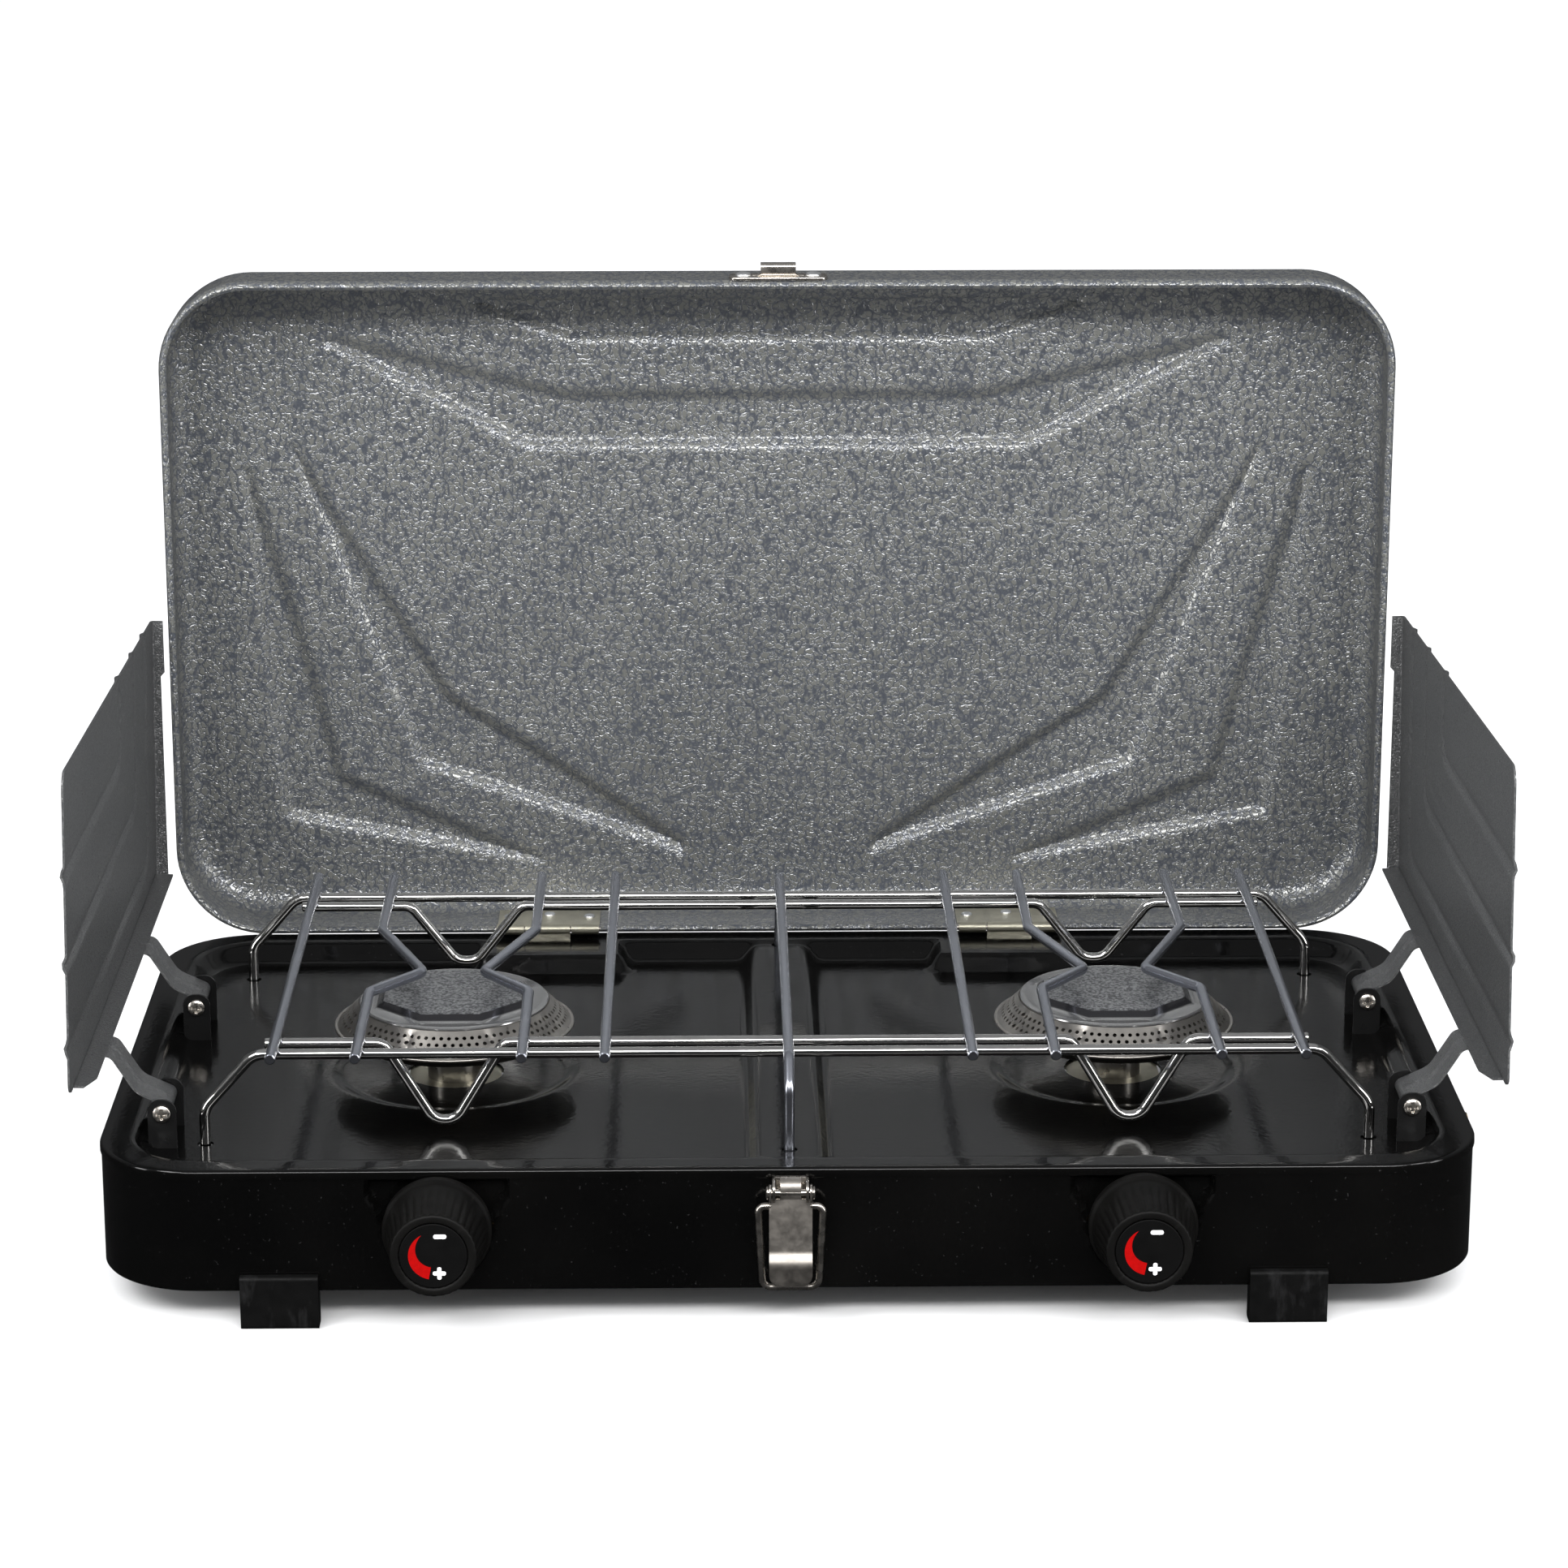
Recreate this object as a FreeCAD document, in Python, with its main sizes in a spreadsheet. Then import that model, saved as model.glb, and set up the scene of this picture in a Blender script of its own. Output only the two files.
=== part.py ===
import FreeCAD, Part
import Sketcher
import math
import os
import re

# Two-burner folding camp stove, standing open with its lid up and its windshields out.
# +X is the stove's right side, +Y its rear (where the lid stands), +Z up. Lengths in mm.
# The origin is the centre of the stove's footprint, on the plane of its four feet.

doc = FreeCAD.newDocument("CampStove")
V = FreeCAD.Vector

DIMENSIONS = {
    "sheet": 1.0, "case_width": 500.0, "case_depth": 276.0, "case_bottom": 13.5, "rim_top": 59.5,
    "case_corner": 38.0, "rim_round": 4.0, "panel_top": 52.5, "rib_top": 58.3, "dish_drop": 2.0,
    "dish_radius": 47.0, "burner_x": 126.0, "burner_y": -8.0, "burner_hole": 18.5,
    "knob_z": 38.0, "knob_recess": 4.0, "stem_hole": 5.0,
    "knob_front": -166.5, "knob_back": -139.0,
    "foot_left_x": 183.0, "foot_right_x": 179.0, "foot_width": 28.0, "foot_top": 20.0,
    "lid_width": 494.0, "lid_bottom": 59.9, "lid_top": 331.0, "lid_front": 134.0, "lid_depth": 38.5,
    "lid_lip": 2.7, "lid_corner": 36.0, "lid_round": 10.0,
    "pin_y": 130.6, "pin_z": 63.1, "pin_radius": 1.2, "knuckle_radius": 2.2,
    "hinge_x": 95.0, "hinge_width": 42.0, "leaf_sheet": 1.0,
    "lip_radius": 45.7, "lip_z": 71.0, "ring_radius": 35.8, "ring_z": 79.3, "neck_radius": 10.5,
    "wire_radius": 2.0, "rod_z": 87.0, "wire_z": 90.7, "rail_front_y": -91.0, "rail_rear_y": 99.0,
    "vrod_front_y": -79.0, "vrod_rear_y": 87.0, "leg_x": 213.0, "leg_bottom": 45.0,
    "wire_overhang": 16.8, "centre_front_y": -116.0, "centre_rear_y": 123.0,
    "shield_x": 255.2, "shield_sheet": 0.8, "shield_bottom": 87.0, "shield_front": -138.0,
    "shield_rear": 130.0, "shield_pivot_x": 228.0, "shield_pivot_z": 66.0,
    "shield_lean": 1.2, "shield_rear_top": 194.0, "shield_front_top": 206.0, "flange_clear_x": 248.2,
    "arm_width": 21.0, "arm_front_y": -83.0, "arm_rear_y": 37.0, "ear_gap": 22.8, "ear_top": 71.0,
    "bracket_width": 10.4, "bracket_sheet": 1.2,
    "screw_radius": 1.8, "pipe_radius": 4.5, "pipe_y": -118.0, "pipe_turn_x": 218.0,
    "inlet_y": -50.0, "inlet_mouth_x": 256.0, "inlet_hole": 11.0, "stem_front": -149.5,
    "latch_y": -144.0, "latch_z": 52.4, "bail_z": 47.4,
    "bail_radius": 1.3,
}
D = dict(DIMENSIONS)

sheet = doc.addObject("Spreadsheet::Sheet", "Params")
for row, (alias, value) in enumerate(DIMENSIONS.items(), start=1):
    sheet.set("A%d" % row, alias)
    sheet.set("B%d" % row, str(value))
    sheet.setAlias("B%d" % row, alias)
doc.recompute()

WORD = re.compile(r"[a-z]+(?:_[a-z]+)*")


def bind(obj, prop, formula):
    """Drive a property from the spreadsheet; names in the formula are its aliases."""
    text = formula if isinstance(formula, str) else repr(formula)
    obj.setExpression(prop, WORD.sub(lambda m: "Params." + m.group(0), text))


def place(obj, x=0, y=0, z=0, rotation=None):
    if rotation is not None:
        obj.Placement = FreeCAD.Placement(V(0, 0, 0), rotation)
    for axis, formula in (("x", x), ("y", y), ("z", z)):
        bind(obj, "Placement.Base." + axis, formula)
    return obj


ALONG = {
    "x": FreeCAD.Rotation(V(0, 1, 0), 90),
    "y": FreeCAD.Rotation(V(1, 0, 0), -90),
    "z": FreeCAD.Rotation(),
}


def box(name, x, y, z, length, width, height):
    obj = doc.addObject("Part::Box", name)
    for prop, formula in (("Length", length), ("Width", width), ("Height", height)):
        bind(obj, prop, formula)
    return place(obj, x, y, z)


def cylinder(name, axis, x, y, z, radius, height):
    obj = doc.addObject("Part::Cylinder", name)
    bind(obj, "Radius", radius)
    bind(obj, "Height", height)
    return place(obj, x, y, z, ALONG[axis])


def cone(name, axis, x, y, z, radius1, radius2, height):
    obj = doc.addObject("Part::Cone", name)
    bind(obj, "Radius1", radius1)
    bind(obj, "Radius2", radius2)
    bind(obj, "Height", height)
    return place(obj, x, y, z, ALONG[axis])


def fuse(name, *shapes):
    obj = doc.addObject("Part::MultiFuse", name)
    obj.Shapes = list(shapes)
    return obj


def cut(name, base, *tools):
    obj = doc.addObject("Part::Cut", name)
    obj.Base = base
    obj.Tool = tools[0] if len(tools) == 1 else fuse(name + "_tools", *tools)
    return obj


def group(name, *shapes):
    obj = doc.addObject("Part::Compound", name)
    obj.Links = list(shapes)
    return obj


def new_body(name):
    return doc.addObject("PartDesign::Body", name)


def origin_feature(body, role):
    return next(f for f in body.Origin.OriginFeatures if f.Role == role)


def new_sketch(body, name, role, offset=0):
    sk = body.newObject("Sketcher::SketchObject", name)
    sk.AttachmentSupport = [(origin_feature(body, role), "")]
    sk.MapMode = "FlatFace"
    bind(sk, "AttachmentOffset.Base.z", offset)
    return sk


def add_rect(sk, left, bottom, right, top):
    """A rectangle held by four spreadsheet-driven distances from the sketch's origin."""
    first = sk.GeometryCount
    corners = [V(-1, -1, 0), V(1, -1, 0), V(1, 1, 0), V(-1, 1, 0)]
    sides = [Part.LineSegment(corners[i], corners[(i + 1) % 4]) for i in range(4)]
    sk.addGeometry(sides, False)
    for i in range(4):
        sk.addConstraint(Sketcher.Constraint("Coincident", first + i, 2, first + (i + 1) % 4, 1))
        kind = "Horizontal" if i % 2 == 0 else "Vertical"
        sk.addConstraint(Sketcher.Constraint(kind, first + i))
    held = (("DistanceX", first, 1, -1, left), ("DistanceY", first, 1, -1, bottom),
            ("DistanceX", first + 1, 2, 1, right), ("DistanceY", first + 1, 2, 1, top))
    for side, (kind, line, end, start, formula) in zip("abcd", held):
        index = sk.addConstraint(Sketcher.Constraint(kind, line, end, start))
        sk.renameConstraint(index, "%s%d" % (side, first))
        bind(sk, "Constraints.%s%d" % (side, first), formula)


def add_circle(sk, x, y, radius, formula=None):
    first = sk.addGeometry(Part.Circle(V(x, y, 0), V(0, 0, 1), radius), False)
    sk.addConstraint(Sketcher.Constraint("DistanceX", first, 3, x))
    sk.addConstraint(Sketcher.Constraint("DistanceY", first, 3, y))
    index = sk.addConstraint(Sketcher.Constraint("Radius", first, radius))
    if formula is not None:
        sk.renameConstraint(index, "r%d" % first)
        bind(sk, "Constraints.r%d" % first, formula)


def rounded(points, radii, closed):
    """Lines and tangent arcs that follow the points, rounding each corner by its radius."""
    count = len(points)
    pts = [V(x, y, 0) for x, y in points]
    if not isinstance(radii, (list, tuple)):
        radii = [radii] * count
    entry, leave, arcs = [None] * count, [None] * count, [None] * count
    for i, point in enumerate(pts):
        if not closed and i in (0, count - 1):
            entry[i] = leave[i] = point
            continue
        before = (pts[i - 1] - point).normalize()
        after = (pts[(i + 1) % count] - point).normalize()
        half = math.acos(max(-1.0, min(1.0, before.dot(after)))) / 2
        radius = radii[i]
        if radius <= 0 or abs(half - math.pi / 2) < 1e-6:
            entry[i] = leave[i] = point
            continue
        reach = radius / math.tan(half)
        entry[i], leave[i] = point + before * reach, point + after * reach
        middle = (before + after).normalize()
        centre = point + middle * (radius / math.sin(half))
        arcs[i] = Part.Arc(entry[i], centre - middle * radius, leave[i])
    pieces = []
    for i in range(count):
        if arcs[i] is not None:
            pieces.append(arcs[i])
        if i < count - 1 or closed:
            start, end = leave[i], entry[(i + 1) % count]
            if (end - start).Length > 1e-6:
                pieces.append(Part.LineSegment(start, end))
    return pieces


def add_outline(sk, points, radii=0, closed=True):
    sk.addGeometry(rounded(points, radii, closed), False)


def rect_points(x0, y0, x1, y1):
    return [(x0, y0), (x1, y0), (x1, y1), (x0, y1)]


def pad(body, sk, length, flip=False):
    feature = body.newObject("PartDesign::Pad", sk.Name + "_pad")
    feature.Profile = sk
    bind(feature, "Length", length)
    feature.Reversed = flip
    sk.Visibility = False
    return feature


def pocket(body, sk, depth, flip=False):
    feature = body.newObject("PartDesign::Pocket", sk.Name + "_pocket")
    feature.Profile = sk
    bind(feature, "Length", depth)
    feature.Reversed = flip
    sk.Visibility = False
    return feature


def edges_where(feature, test):
    doc.recompute()
    return ["Edge%d" % (i + 1) for i, edge in enumerate(feature.Shape.Edges) if test(edge.BoundBox)]


def fillet(body, feature, name, radius, test):
    rounding = body.newObject("PartDesign::Fillet", name)
    rounding.Base = (feature, edges_where(feature, test))
    bind(rounding, "Radius", radius)
    return rounding


def revolve(body, sk):
    feature = body.newObject("PartDesign::Revolution", sk.Name + "_turned")
    feature.Profile = sk
    feature.ReferenceAxis = (sk, ["V_Axis"])
    feature.Angle = 360
    sk.Visibility = False
    return feature


def bent_wire(name, role, offset, points, bend, start_role, start_offset, centre, radius):
    """Round wire swept along a flat bent path; its round section sits at the path's start."""
    body = new_body(name)
    path = new_sketch(body, name + "_path", role, offset)
    add_outline(path, points, bend, closed=False)
    section = new_sketch(body, name + "_section", start_role, start_offset)
    add_circle(section, centre[0], centre[1], D[radius], radius)
    doc.recompute()
    sweep = body.newObject("PartDesign::AdditivePipe", name + "_sweep")
    sweep.Profile = section
    sweep.Spine = (path, [])
    sweep.Mode = "Frenet" if "Frenet" in sweep.getEnumerationsOfProperty("Mode") else "Standard"
    return body


nodes = {}
half_width, half_depth = D["case_width"] / 2, D["case_depth"] / 2
rim_inner_x, rim_inner_y = half_width - 12, half_depth - 11

# ---------------------------------------------------------------- case
case = new_body("base_case")
outline = new_sketch(case, "case_outline", "XY_Plane", "case_bottom")
add_rect(outline, "-case_width / 2", "-case_depth / 2", "case_width / 2", "case_depth / 2")
block = pad(case, outline, "rim_top - case_bottom")
block = fillet(case, block, "case_corners", "case_corner", lambda b: b.ZLength > 20 and b.XLength < 1)
block = fillet(case, block, "case_rim", "rim_round",
               lambda b: b.ZMin > D["rim_top"] - 0.01)


def recess_outline(side, grow):
    """One half of the sunken panel, notched at the rear for the raised hinge boss."""
    inner, outer = 12 - grow, rim_inner_x + grow
    near, far = -rim_inner_y - grow, rim_inner_y + grow
    boss = (64 + grow, 122 - grow, 107 + grow)
    points = [(inner, near), (outer, near), (outer, far), (boss[1], far),
              (boss[1], boss[2]), (boss[0], boss[2]), (boss[0], far), (inner, far)]
    radii = [5 - grow, 27 + grow, 27 + grow, 4 + grow, 4 - grow, 4 - grow, 4 + grow, 5 - grow]
    return [(side * x, y) for x, y in points], radii


recess = new_sketch(case, "recess", "XY_Plane", "rim_top")
for side in (-1, 1):
    add_outline(recess, *recess_outline(side, 0))
pocket(case, recess, "rim_top - panel_top")
rib = new_sketch(case, "centre_rib", "XY_Plane", "rim_top")
add_outline(rib, rect_points(-12, -rim_inner_y, 12, rim_inner_y))
pocket(case, rib, "rim_top - rib_top")
dish = new_sketch(case, "burner_dishes", "XY_Plane", "panel_top")
for side in (-1, 1):
    add_circle(dish, side * D["burner_x"], D["burner_y"], D["dish_radius"], "dish_radius")
pocket(case, dish, "dish_drop")


def hollow(name, start, height, islands):
    sk = new_sketch(case, name, "XY_Plane", start)
    x, y = half_width - D["sheet"], half_depth - D["sheet"]
    add_outline(sk, rect_points(-x, -y, x, y), D["case_corner"] - D["sheet"])
    islands(sk)
    pocket(case, sk, height, flip=True)


def dish_islands(sk):
    for side in (-1, 1):
        add_circle(sk, side * D["burner_x"], D["burner_y"], D["dish_radius"] + 1, "dish_radius + sheet")


def recess_islands(sk):
    for side in (-1, 1):
        add_outline(sk, *recess_outline(side, D["sheet"]))


hollow("hollow_low", "case_bottom", "panel_top - dish_drop - sheet - case_bottom", lambda sk: None)
hollow("hollow_mid", "panel_top - dish_drop - sheet", "dish_drop", dish_islands)
hollow("hollow_rim", "panel_top - sheet", "rib_top - panel_top", recess_islands)


def knob_recess_points(side, grow):
    """The pressed recess behind a knob: wide under the rim, narrowing to the bottom."""
    shape = ((-26, 55), (26, 55), (26, 49.5), (19.5, 38), (16, 24), (-16, 24), (-19.5, 38), (-26, 49.5))
    centre = side * D["burner_x"]
    return [(centre + x + math.copysign(grow, x), z + (grow if z > 50 else 0) - (grow if z < 30 else 0))
            for x, z in shape]


behind = new_sketch(case, "knob_recess_back", "XZ_Plane", "case_depth / 2 - sheet / 2")
front = new_sketch(case, "knob_recess", "XZ_Plane", "case_depth / 2")
for side in (-1, 1):
    add_outline(behind, knob_recess_points(side, D["sheet"]), 1.5)
    add_outline(front, knob_recess_points(side, 0), 1.5)
pad(case, behind, "knob_recess + sheet / 2", flip=True)
pocket(case, front, "knob_recess")

holes = new_sketch(case, "panel_holes", "XY_Plane", "rim_top")
for side in (-1, 1):
    add_circle(holes, side * D["burner_x"], D["burner_y"], D["burner_hole"], "burner_hole")
    for y in (D["rail_front_y"], D["rail_rear_y"]):
        add_circle(holes, side * D["leg_x"], y, 3.0)
    for y in (D["arm_front_y"], D["arm_rear_y"]):
        for end in (-1, 1):
            edge = y + end * (D["ear_gap"] / 2 + 0.6)
            x = side * D["shield_pivot_x"]
            add_outline(holes, rect_points(x - 5.5, edge - 0.8, x + 5.5, edge + 0.8))
for y in (D["centre_front_y"], D["centre_rear_y"]):
    add_circle(holes, 0, y, 3.0)
for side in (-1, 1):
    x = side * D["hinge_x"]
    add_outline(holes, rect_points(x - 9.5, 129.7, x + 9.5, 131.5))
pocket(case, holes, "rim_top - panel_top + dish_drop + 2 * sheet")
stems = new_sketch(case, "stem_holes", "XZ_Plane", "case_depth / 2")
for side in (-1, 1):
    add_circle(stems, side * D["burner_x"], D["knob_z"], D["stem_hole"], "stem_hole")
pocket(case, stems, "knob_recess + 3")
inlet_hole = new_sketch(case, "inlet_hole", "YZ_Plane", "case_width / 2")
add_circle(inlet_hole, D["inlet_y"], D["knob_z"], D["inlet_hole"])
case.Tip = pocket(case, inlet_hole, 4)
nodes["base_case"] = case

# ---------------------------------------------------------------- feet
for side, side_name in ((-1, "left"), (1, "right")):
    for end, end_name in ((-1, "front"), (1, "rear")):
        name = "foot_%s_%s" % (end_name, side_name)
        body = new_body(name)
        section = new_sketch(body, name + "_section", "YZ_Plane", "%d * foot_%s_x - foot_width / 2" % (side, side_name))
        wall, inside = half_depth, half_depth - D["sheet"]
        profile = [(wall + 3, 1), (wall + 3, D["foot_top"]), (wall, D["foot_top"]),
                   (wall, D["case_bottom"]), (inside, D["case_bottom"]), (inside, D["foot_top"]),
                   (inside - 3.5, D["foot_top"]), (inside - 4.5, 0), (wall + 2, 0)]
        add_outline(section, [(end * y, z) for y, z in profile], [1, 1.5, 0, 0, 0, 0, 1, 1, 1])
        body.Tip = pad(body, section, "foot_width")
        nodes[name] = body

# ---------------------------------------------------------------- burners
for side, side_name in ((-1, "left"), (1, "right")):
    lip, lip_z, ring, ring_z, neck = (D[k] for k in ("lip_radius", "lip_z", "ring_radius", "ring_z",
                                                     "neck_radius"))
    turned = {
        "burner_bowl": [(neck - 0.9, 46), (neck, 46), (neck, 59), (neck + 4, 61.5), (41, 66.5), (44.5, lip_z - 1),
                        (lip, lip_z - 1), (lip, lip_z), (43, lip_z), (40, 67.6), (neck + 3, 62.6),
                        (neck - 0.9, 60)],
        "burner_band": [(43.2, lip_z), (44.4, lip_z), (ring + 0.2, ring_z), (ring - 1.0, ring_z)],
        "burner_cap": [(0, ring_z), (ring, ring_z), (ring, ring_z + 0.9), (ring - 1, ring_z + 1.2),
                       (0, ring_z + 1.2)],
    }
    for part_name, points in turned.items():
        name = "%s_%s" % (part_name, side_name)
        body = new_body(name)
        section = new_sketch(body, name + "_section", "XZ_Plane")
        add_outline(section, points)
        body.Tip = revolve(body, section)
        if part_name == "burner_cap":
            lower = new_sketch(body, name + "_octagon", "XY_Plane", "ring_z + 1.2")
            upper = new_sketch(body, name + "_plateau", "XY_Plane", "ring_z + 3.6")
            for sk, radius in ((lower, 31.5), (upper, 28.0)):
                add_outline(sk, [(radius * math.cos(math.radians(22.5 + 45 * i)),
                                  radius * math.sin(math.radians(22.5 + 45 * i))) for i in range(8)])
            doc.recompute()
            plateau = body.newObject("PartDesign::AdditiveLoft", name + "_raised")
            plateau.Profile = lower
            plateau.Sections = [upper]
            plateau.Ruled = True
            body.Tip = plateau
        place(body, "%d * burner_x" % side, "burner_y")
        nodes[name] = body

    s = "%d * burner_x" % side
    plate = box("tray_plate_" + side_name, s + " - 17.5", "burner_y - 35", "panel_top - dish_drop - 2.2",
                35, 70, 1.2)
    hole = cylinder("tray_hole_" + side_name, "z", s, "burner_y", 45, "neck_radius + 0.05", 10)
    flanges = [box("tray_flange_%s_%d" % (side_name, i), s + " - 17.5", "burner_y %+.1f" % y, 38, 35, 1.2, 11.4)
               for i, y in enumerate((-35.0, 33.8))]
    tube_slots = cylinder("tray_tube_" + side_name, "y", s, "burner_y - 40", "knob_z", 8.0, 12)
    nodes["burner_bracket_" + side_name] = cut("burner_bracket_" + side_name,
                                               fuse("tray_" + side_name, plate, *flanges), hole, tube_slots)
    riser = cylinder("tube_riser_" + side_name, "z", s, "burner_y", "knob_z", "neck_radius - 0.9", 15)
    run = cylinder("tube_run_" + side_name, "y", s, -98, "knob_z", 7.5, "98 + burner_y")
    elbow = doc.addObject("Part::Sphere", "tube_elbow_" + side_name)
    bind(elbow, "Radius", "neck_radius - 0.9")
    place(elbow, s, "burner_y", "knob_z")
    bell = cone("tube_bell_" + side_name, "y", s, -104, "knob_z", 9.5, 7.5, 8)
    bore_run = cylinder("tube_bore_" + side_name, "y", s, -105, "knob_z", 6.3, "105 + burner_y")
    bore_rise = cylinder("tube_bore_up_" + side_name, "z", s, "burner_y", "knob_z", 8.0, 16)
    nodes["mixing_tube_" + side_name] = cut("mixing_tube_" + side_name,
                                            fuse("tube_" + side_name, riser, run, elbow, bell),
                                            bore_run, bore_rise)
    valve_block = box("valve_block_" + side_name, s + " - 8", -127, "knob_z - 9", 16, 18, 18)
    boss = cylinder("valve_boss_" + side_name, "y", s, "-case_depth / 2 + knob_recess + sheet", "knob_z", 8,
                    "case_depth / 2 - knob_recess - sheet - 127")
    stem = cylinder("valve_stem_" + side_name, "y", s, "stem_front", "knob_z", 3, 23)
    nodes["valve_body_" + side_name] = fuse("valve_body_" + side_name, valve_block, boss)
    stem_flat = box("stem_flat_" + side_name, s + " + 2.2", "stem_front - 0.5", "knob_z - 4", 3, 11, 8)
    stem_trim = box("stem_trim_" + side_name, s + " - 8", -133, "knob_z - 9", 16, 8, 18)
    nodes["valve_stem_" + side_name] = cut("valve_stem_" + side_name, stem,
                                           fuse("valve_core_" + side_name, stem_flat, stem_trim))
    hexagon = cylinder("jet_hex_" + side_name, "y", s, -109, "knob_z", 5, 5)
    tip = cone("jet_tip_" + side_name, "y", s, -104, "knob_z", 3.5, 2.0, 6)
    jet_bore = cylinder("jet_bore_" + side_name, "y", s, -110, "knob_z", 0.6, 14)
    nodes["gas_jet_" + side_name] = cut("gas_jet_" + side_name, fuse("jet_" + side_name, hexagon, tip), jet_bore)

pipe_mid = cylinder("pipe_mid", "x", "-burner_x + 8", "pipe_y", "knob_z", "pipe_radius", "2 * burner_x - 16")
pipe_right = cylinder("pipe_right", "x", "burner_x + 8", "pipe_y", "knob_z", "pipe_radius",
                      "pipe_turn_x - burner_x - 8")
pipe_back = cylinder("pipe_back", "y", "pipe_turn_x", "pipe_y", "knob_z", "pipe_radius", "inlet_y - pipe_y - 8")
pipe_joint = doc.addObject("Part::Sphere", "pipe_joint")
bind(pipe_joint, "Radius", "pipe_radius")
place(pipe_joint, "pipe_turn_x", "pipe_y", "knob_z")
nodes["manifold_pipe"] = fuse("manifold_pipe", pipe_mid, fuse("pipe_branch", pipe_right, pipe_joint, pipe_back))
inlet_block = box("inlet_block", "pipe_turn_x - 8", "inlet_y - 8", "knob_z - 8", 16, 16, 16)
inlet_neck = cylinder("inlet_neck", "x", "pipe_turn_x + 8", "inlet_y", "knob_z", 8.5,
                      "inlet_mouth_x - pipe_turn_x - 8")
inlet_socket = cylinder("inlet_socket", "x", "inlet_mouth_x - 5.5", "inlet_y", "knob_z", 6.0, 6)
inlet_passage = cylinder("inlet_passage", "x", "pipe_turn_x + 4", "inlet_y", "knob_z", 2.0,
                         "inlet_mouth_x - pipe_turn_x - 9")

# ---------------------------------------------------------------- knobs
for side, side_name in ((-1, "left"), (1, "right")):
    s = "%d * burner_x" % side
    skirt = cylinder("knob_skirt_" + side_name, "y", s, "knob_back - 4.5", "knob_z", 19.6, 4.5)
    grip = cone("knob_grip_" + side_name, "y", s, "knob_front", "knob_z", 15.5, 18.4, "knob_back - 4.5 - knob_front")
    bore = cylinder("knob_bore_" + side_name, "y", s, "knob_back - 11", "knob_z", 3.05, 12)
    dimple = cylinder("knob_dimple_" + side_name, "y", s, "knob_front - 0.5", "knob_z", 12.2, 1.1)
    nodes["knob_" + side_name] = cut("knob_" + side_name, fuse("knob_solid_" + side_name, skirt, grip),
                                     bore, dimple)
    nodes["knob_label_" + side_name] = cylinder("knob_label_" + side_name, "y", s, "knob_front", "knob_z", 12.0, 0.6)

# ---------------------------------------------------------------- pan grate
for end_name, y in (("front", "rail_front_y"), ("rear", "rail_rear_y")):
    points = [(-D["leg_x"], D["leg_bottom"]), (-D["leg_x"], 66), (-194.5, D["rod_z"]), (194.5, D["rod_z"]),
              (D["leg_x"], 66), (D["leg_x"], D["leg_bottom"])]
    name = "grate_rail_" + end_name
    nodes[name] = bent_wire(name, "XZ_Plane", "-" + y, points, 9, "XY_Plane", "leg_bottom",
                            (-D["leg_x"], D[y]), "wire_radius")
for end_name, y, reach, tip_z in (("front", "vrod_front_y", 191.5, 57.0), ("rear", "vrod_rear_y", 191.5, 64.0)):
    points = [(-reach, D["rod_z"])]
    for x in (-D["burner_x"], D["burner_x"]):
        points += [(x - 22, D["rod_z"]), (x - 3, tip_z), (x + 3, tip_z), (x + 22, D["rod_z"])]
    points.append((reach, D["rod_z"]))
    name = "grate_vrod_" + end_name
    nodes[name] = bent_wire(name, "XZ_Plane", "-" + y, points, [6, 6, 3.5, 3.5, 6, 6, 3.5, 3.5, 6, 6],
                            "YZ_Plane", -reach, (D[y], D["rod_z"]), "wire_radius")

near, far = D["rail_front_y"] - D["wire_overhang"], D["rail_rear_y"] + D["wire_overhang"]
for side, side_name in ((-1, "left"), (1, "right")):
    wires = []
    for label, x in (("inner", 66.5), ("outer", 187.0)):
        wires.append(cylinder("wire_%s_%s" % (label, side_name), "y", side * x, near, "wire_z", "wire_radius",
                              far - near))
    for label, x, tip_x in (("kinked_in", 96.5, 114.5), ("kinked_out", 156.5, 137.5)):
        points = [(side * x, near), (side * x, -32), (side * tip_x, -8), (side * x, 44), (side * x, far)]
        wires.append(bent_wire("wire_%s_%s" % (label, side_name), "XY_Plane", "wire_z", points, 5, "XZ_Plane",
                               -near, (side * x, D["wire_z"]), "wire_radius"))
    nodes["grate_wires_" + side_name] = group("grate_wires_" + side_name, *wires)
near, far = D["centre_front_y"], D["centre_rear_y"]
centre_path = [(near, D["leg_bottom"]), (near, 82), (near + 9, D["wire_z"]), (far - 9, D["wire_z"]), (far, 82),
               (far, D["leg_bottom"])]
nodes["grate_wire_centre"] = bent_wire("grate_wire_centre", "YZ_Plane", 0, centre_path, 6, "XY_Plane",
                                       "leg_bottom", (0, near), "wire_radius")

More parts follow.
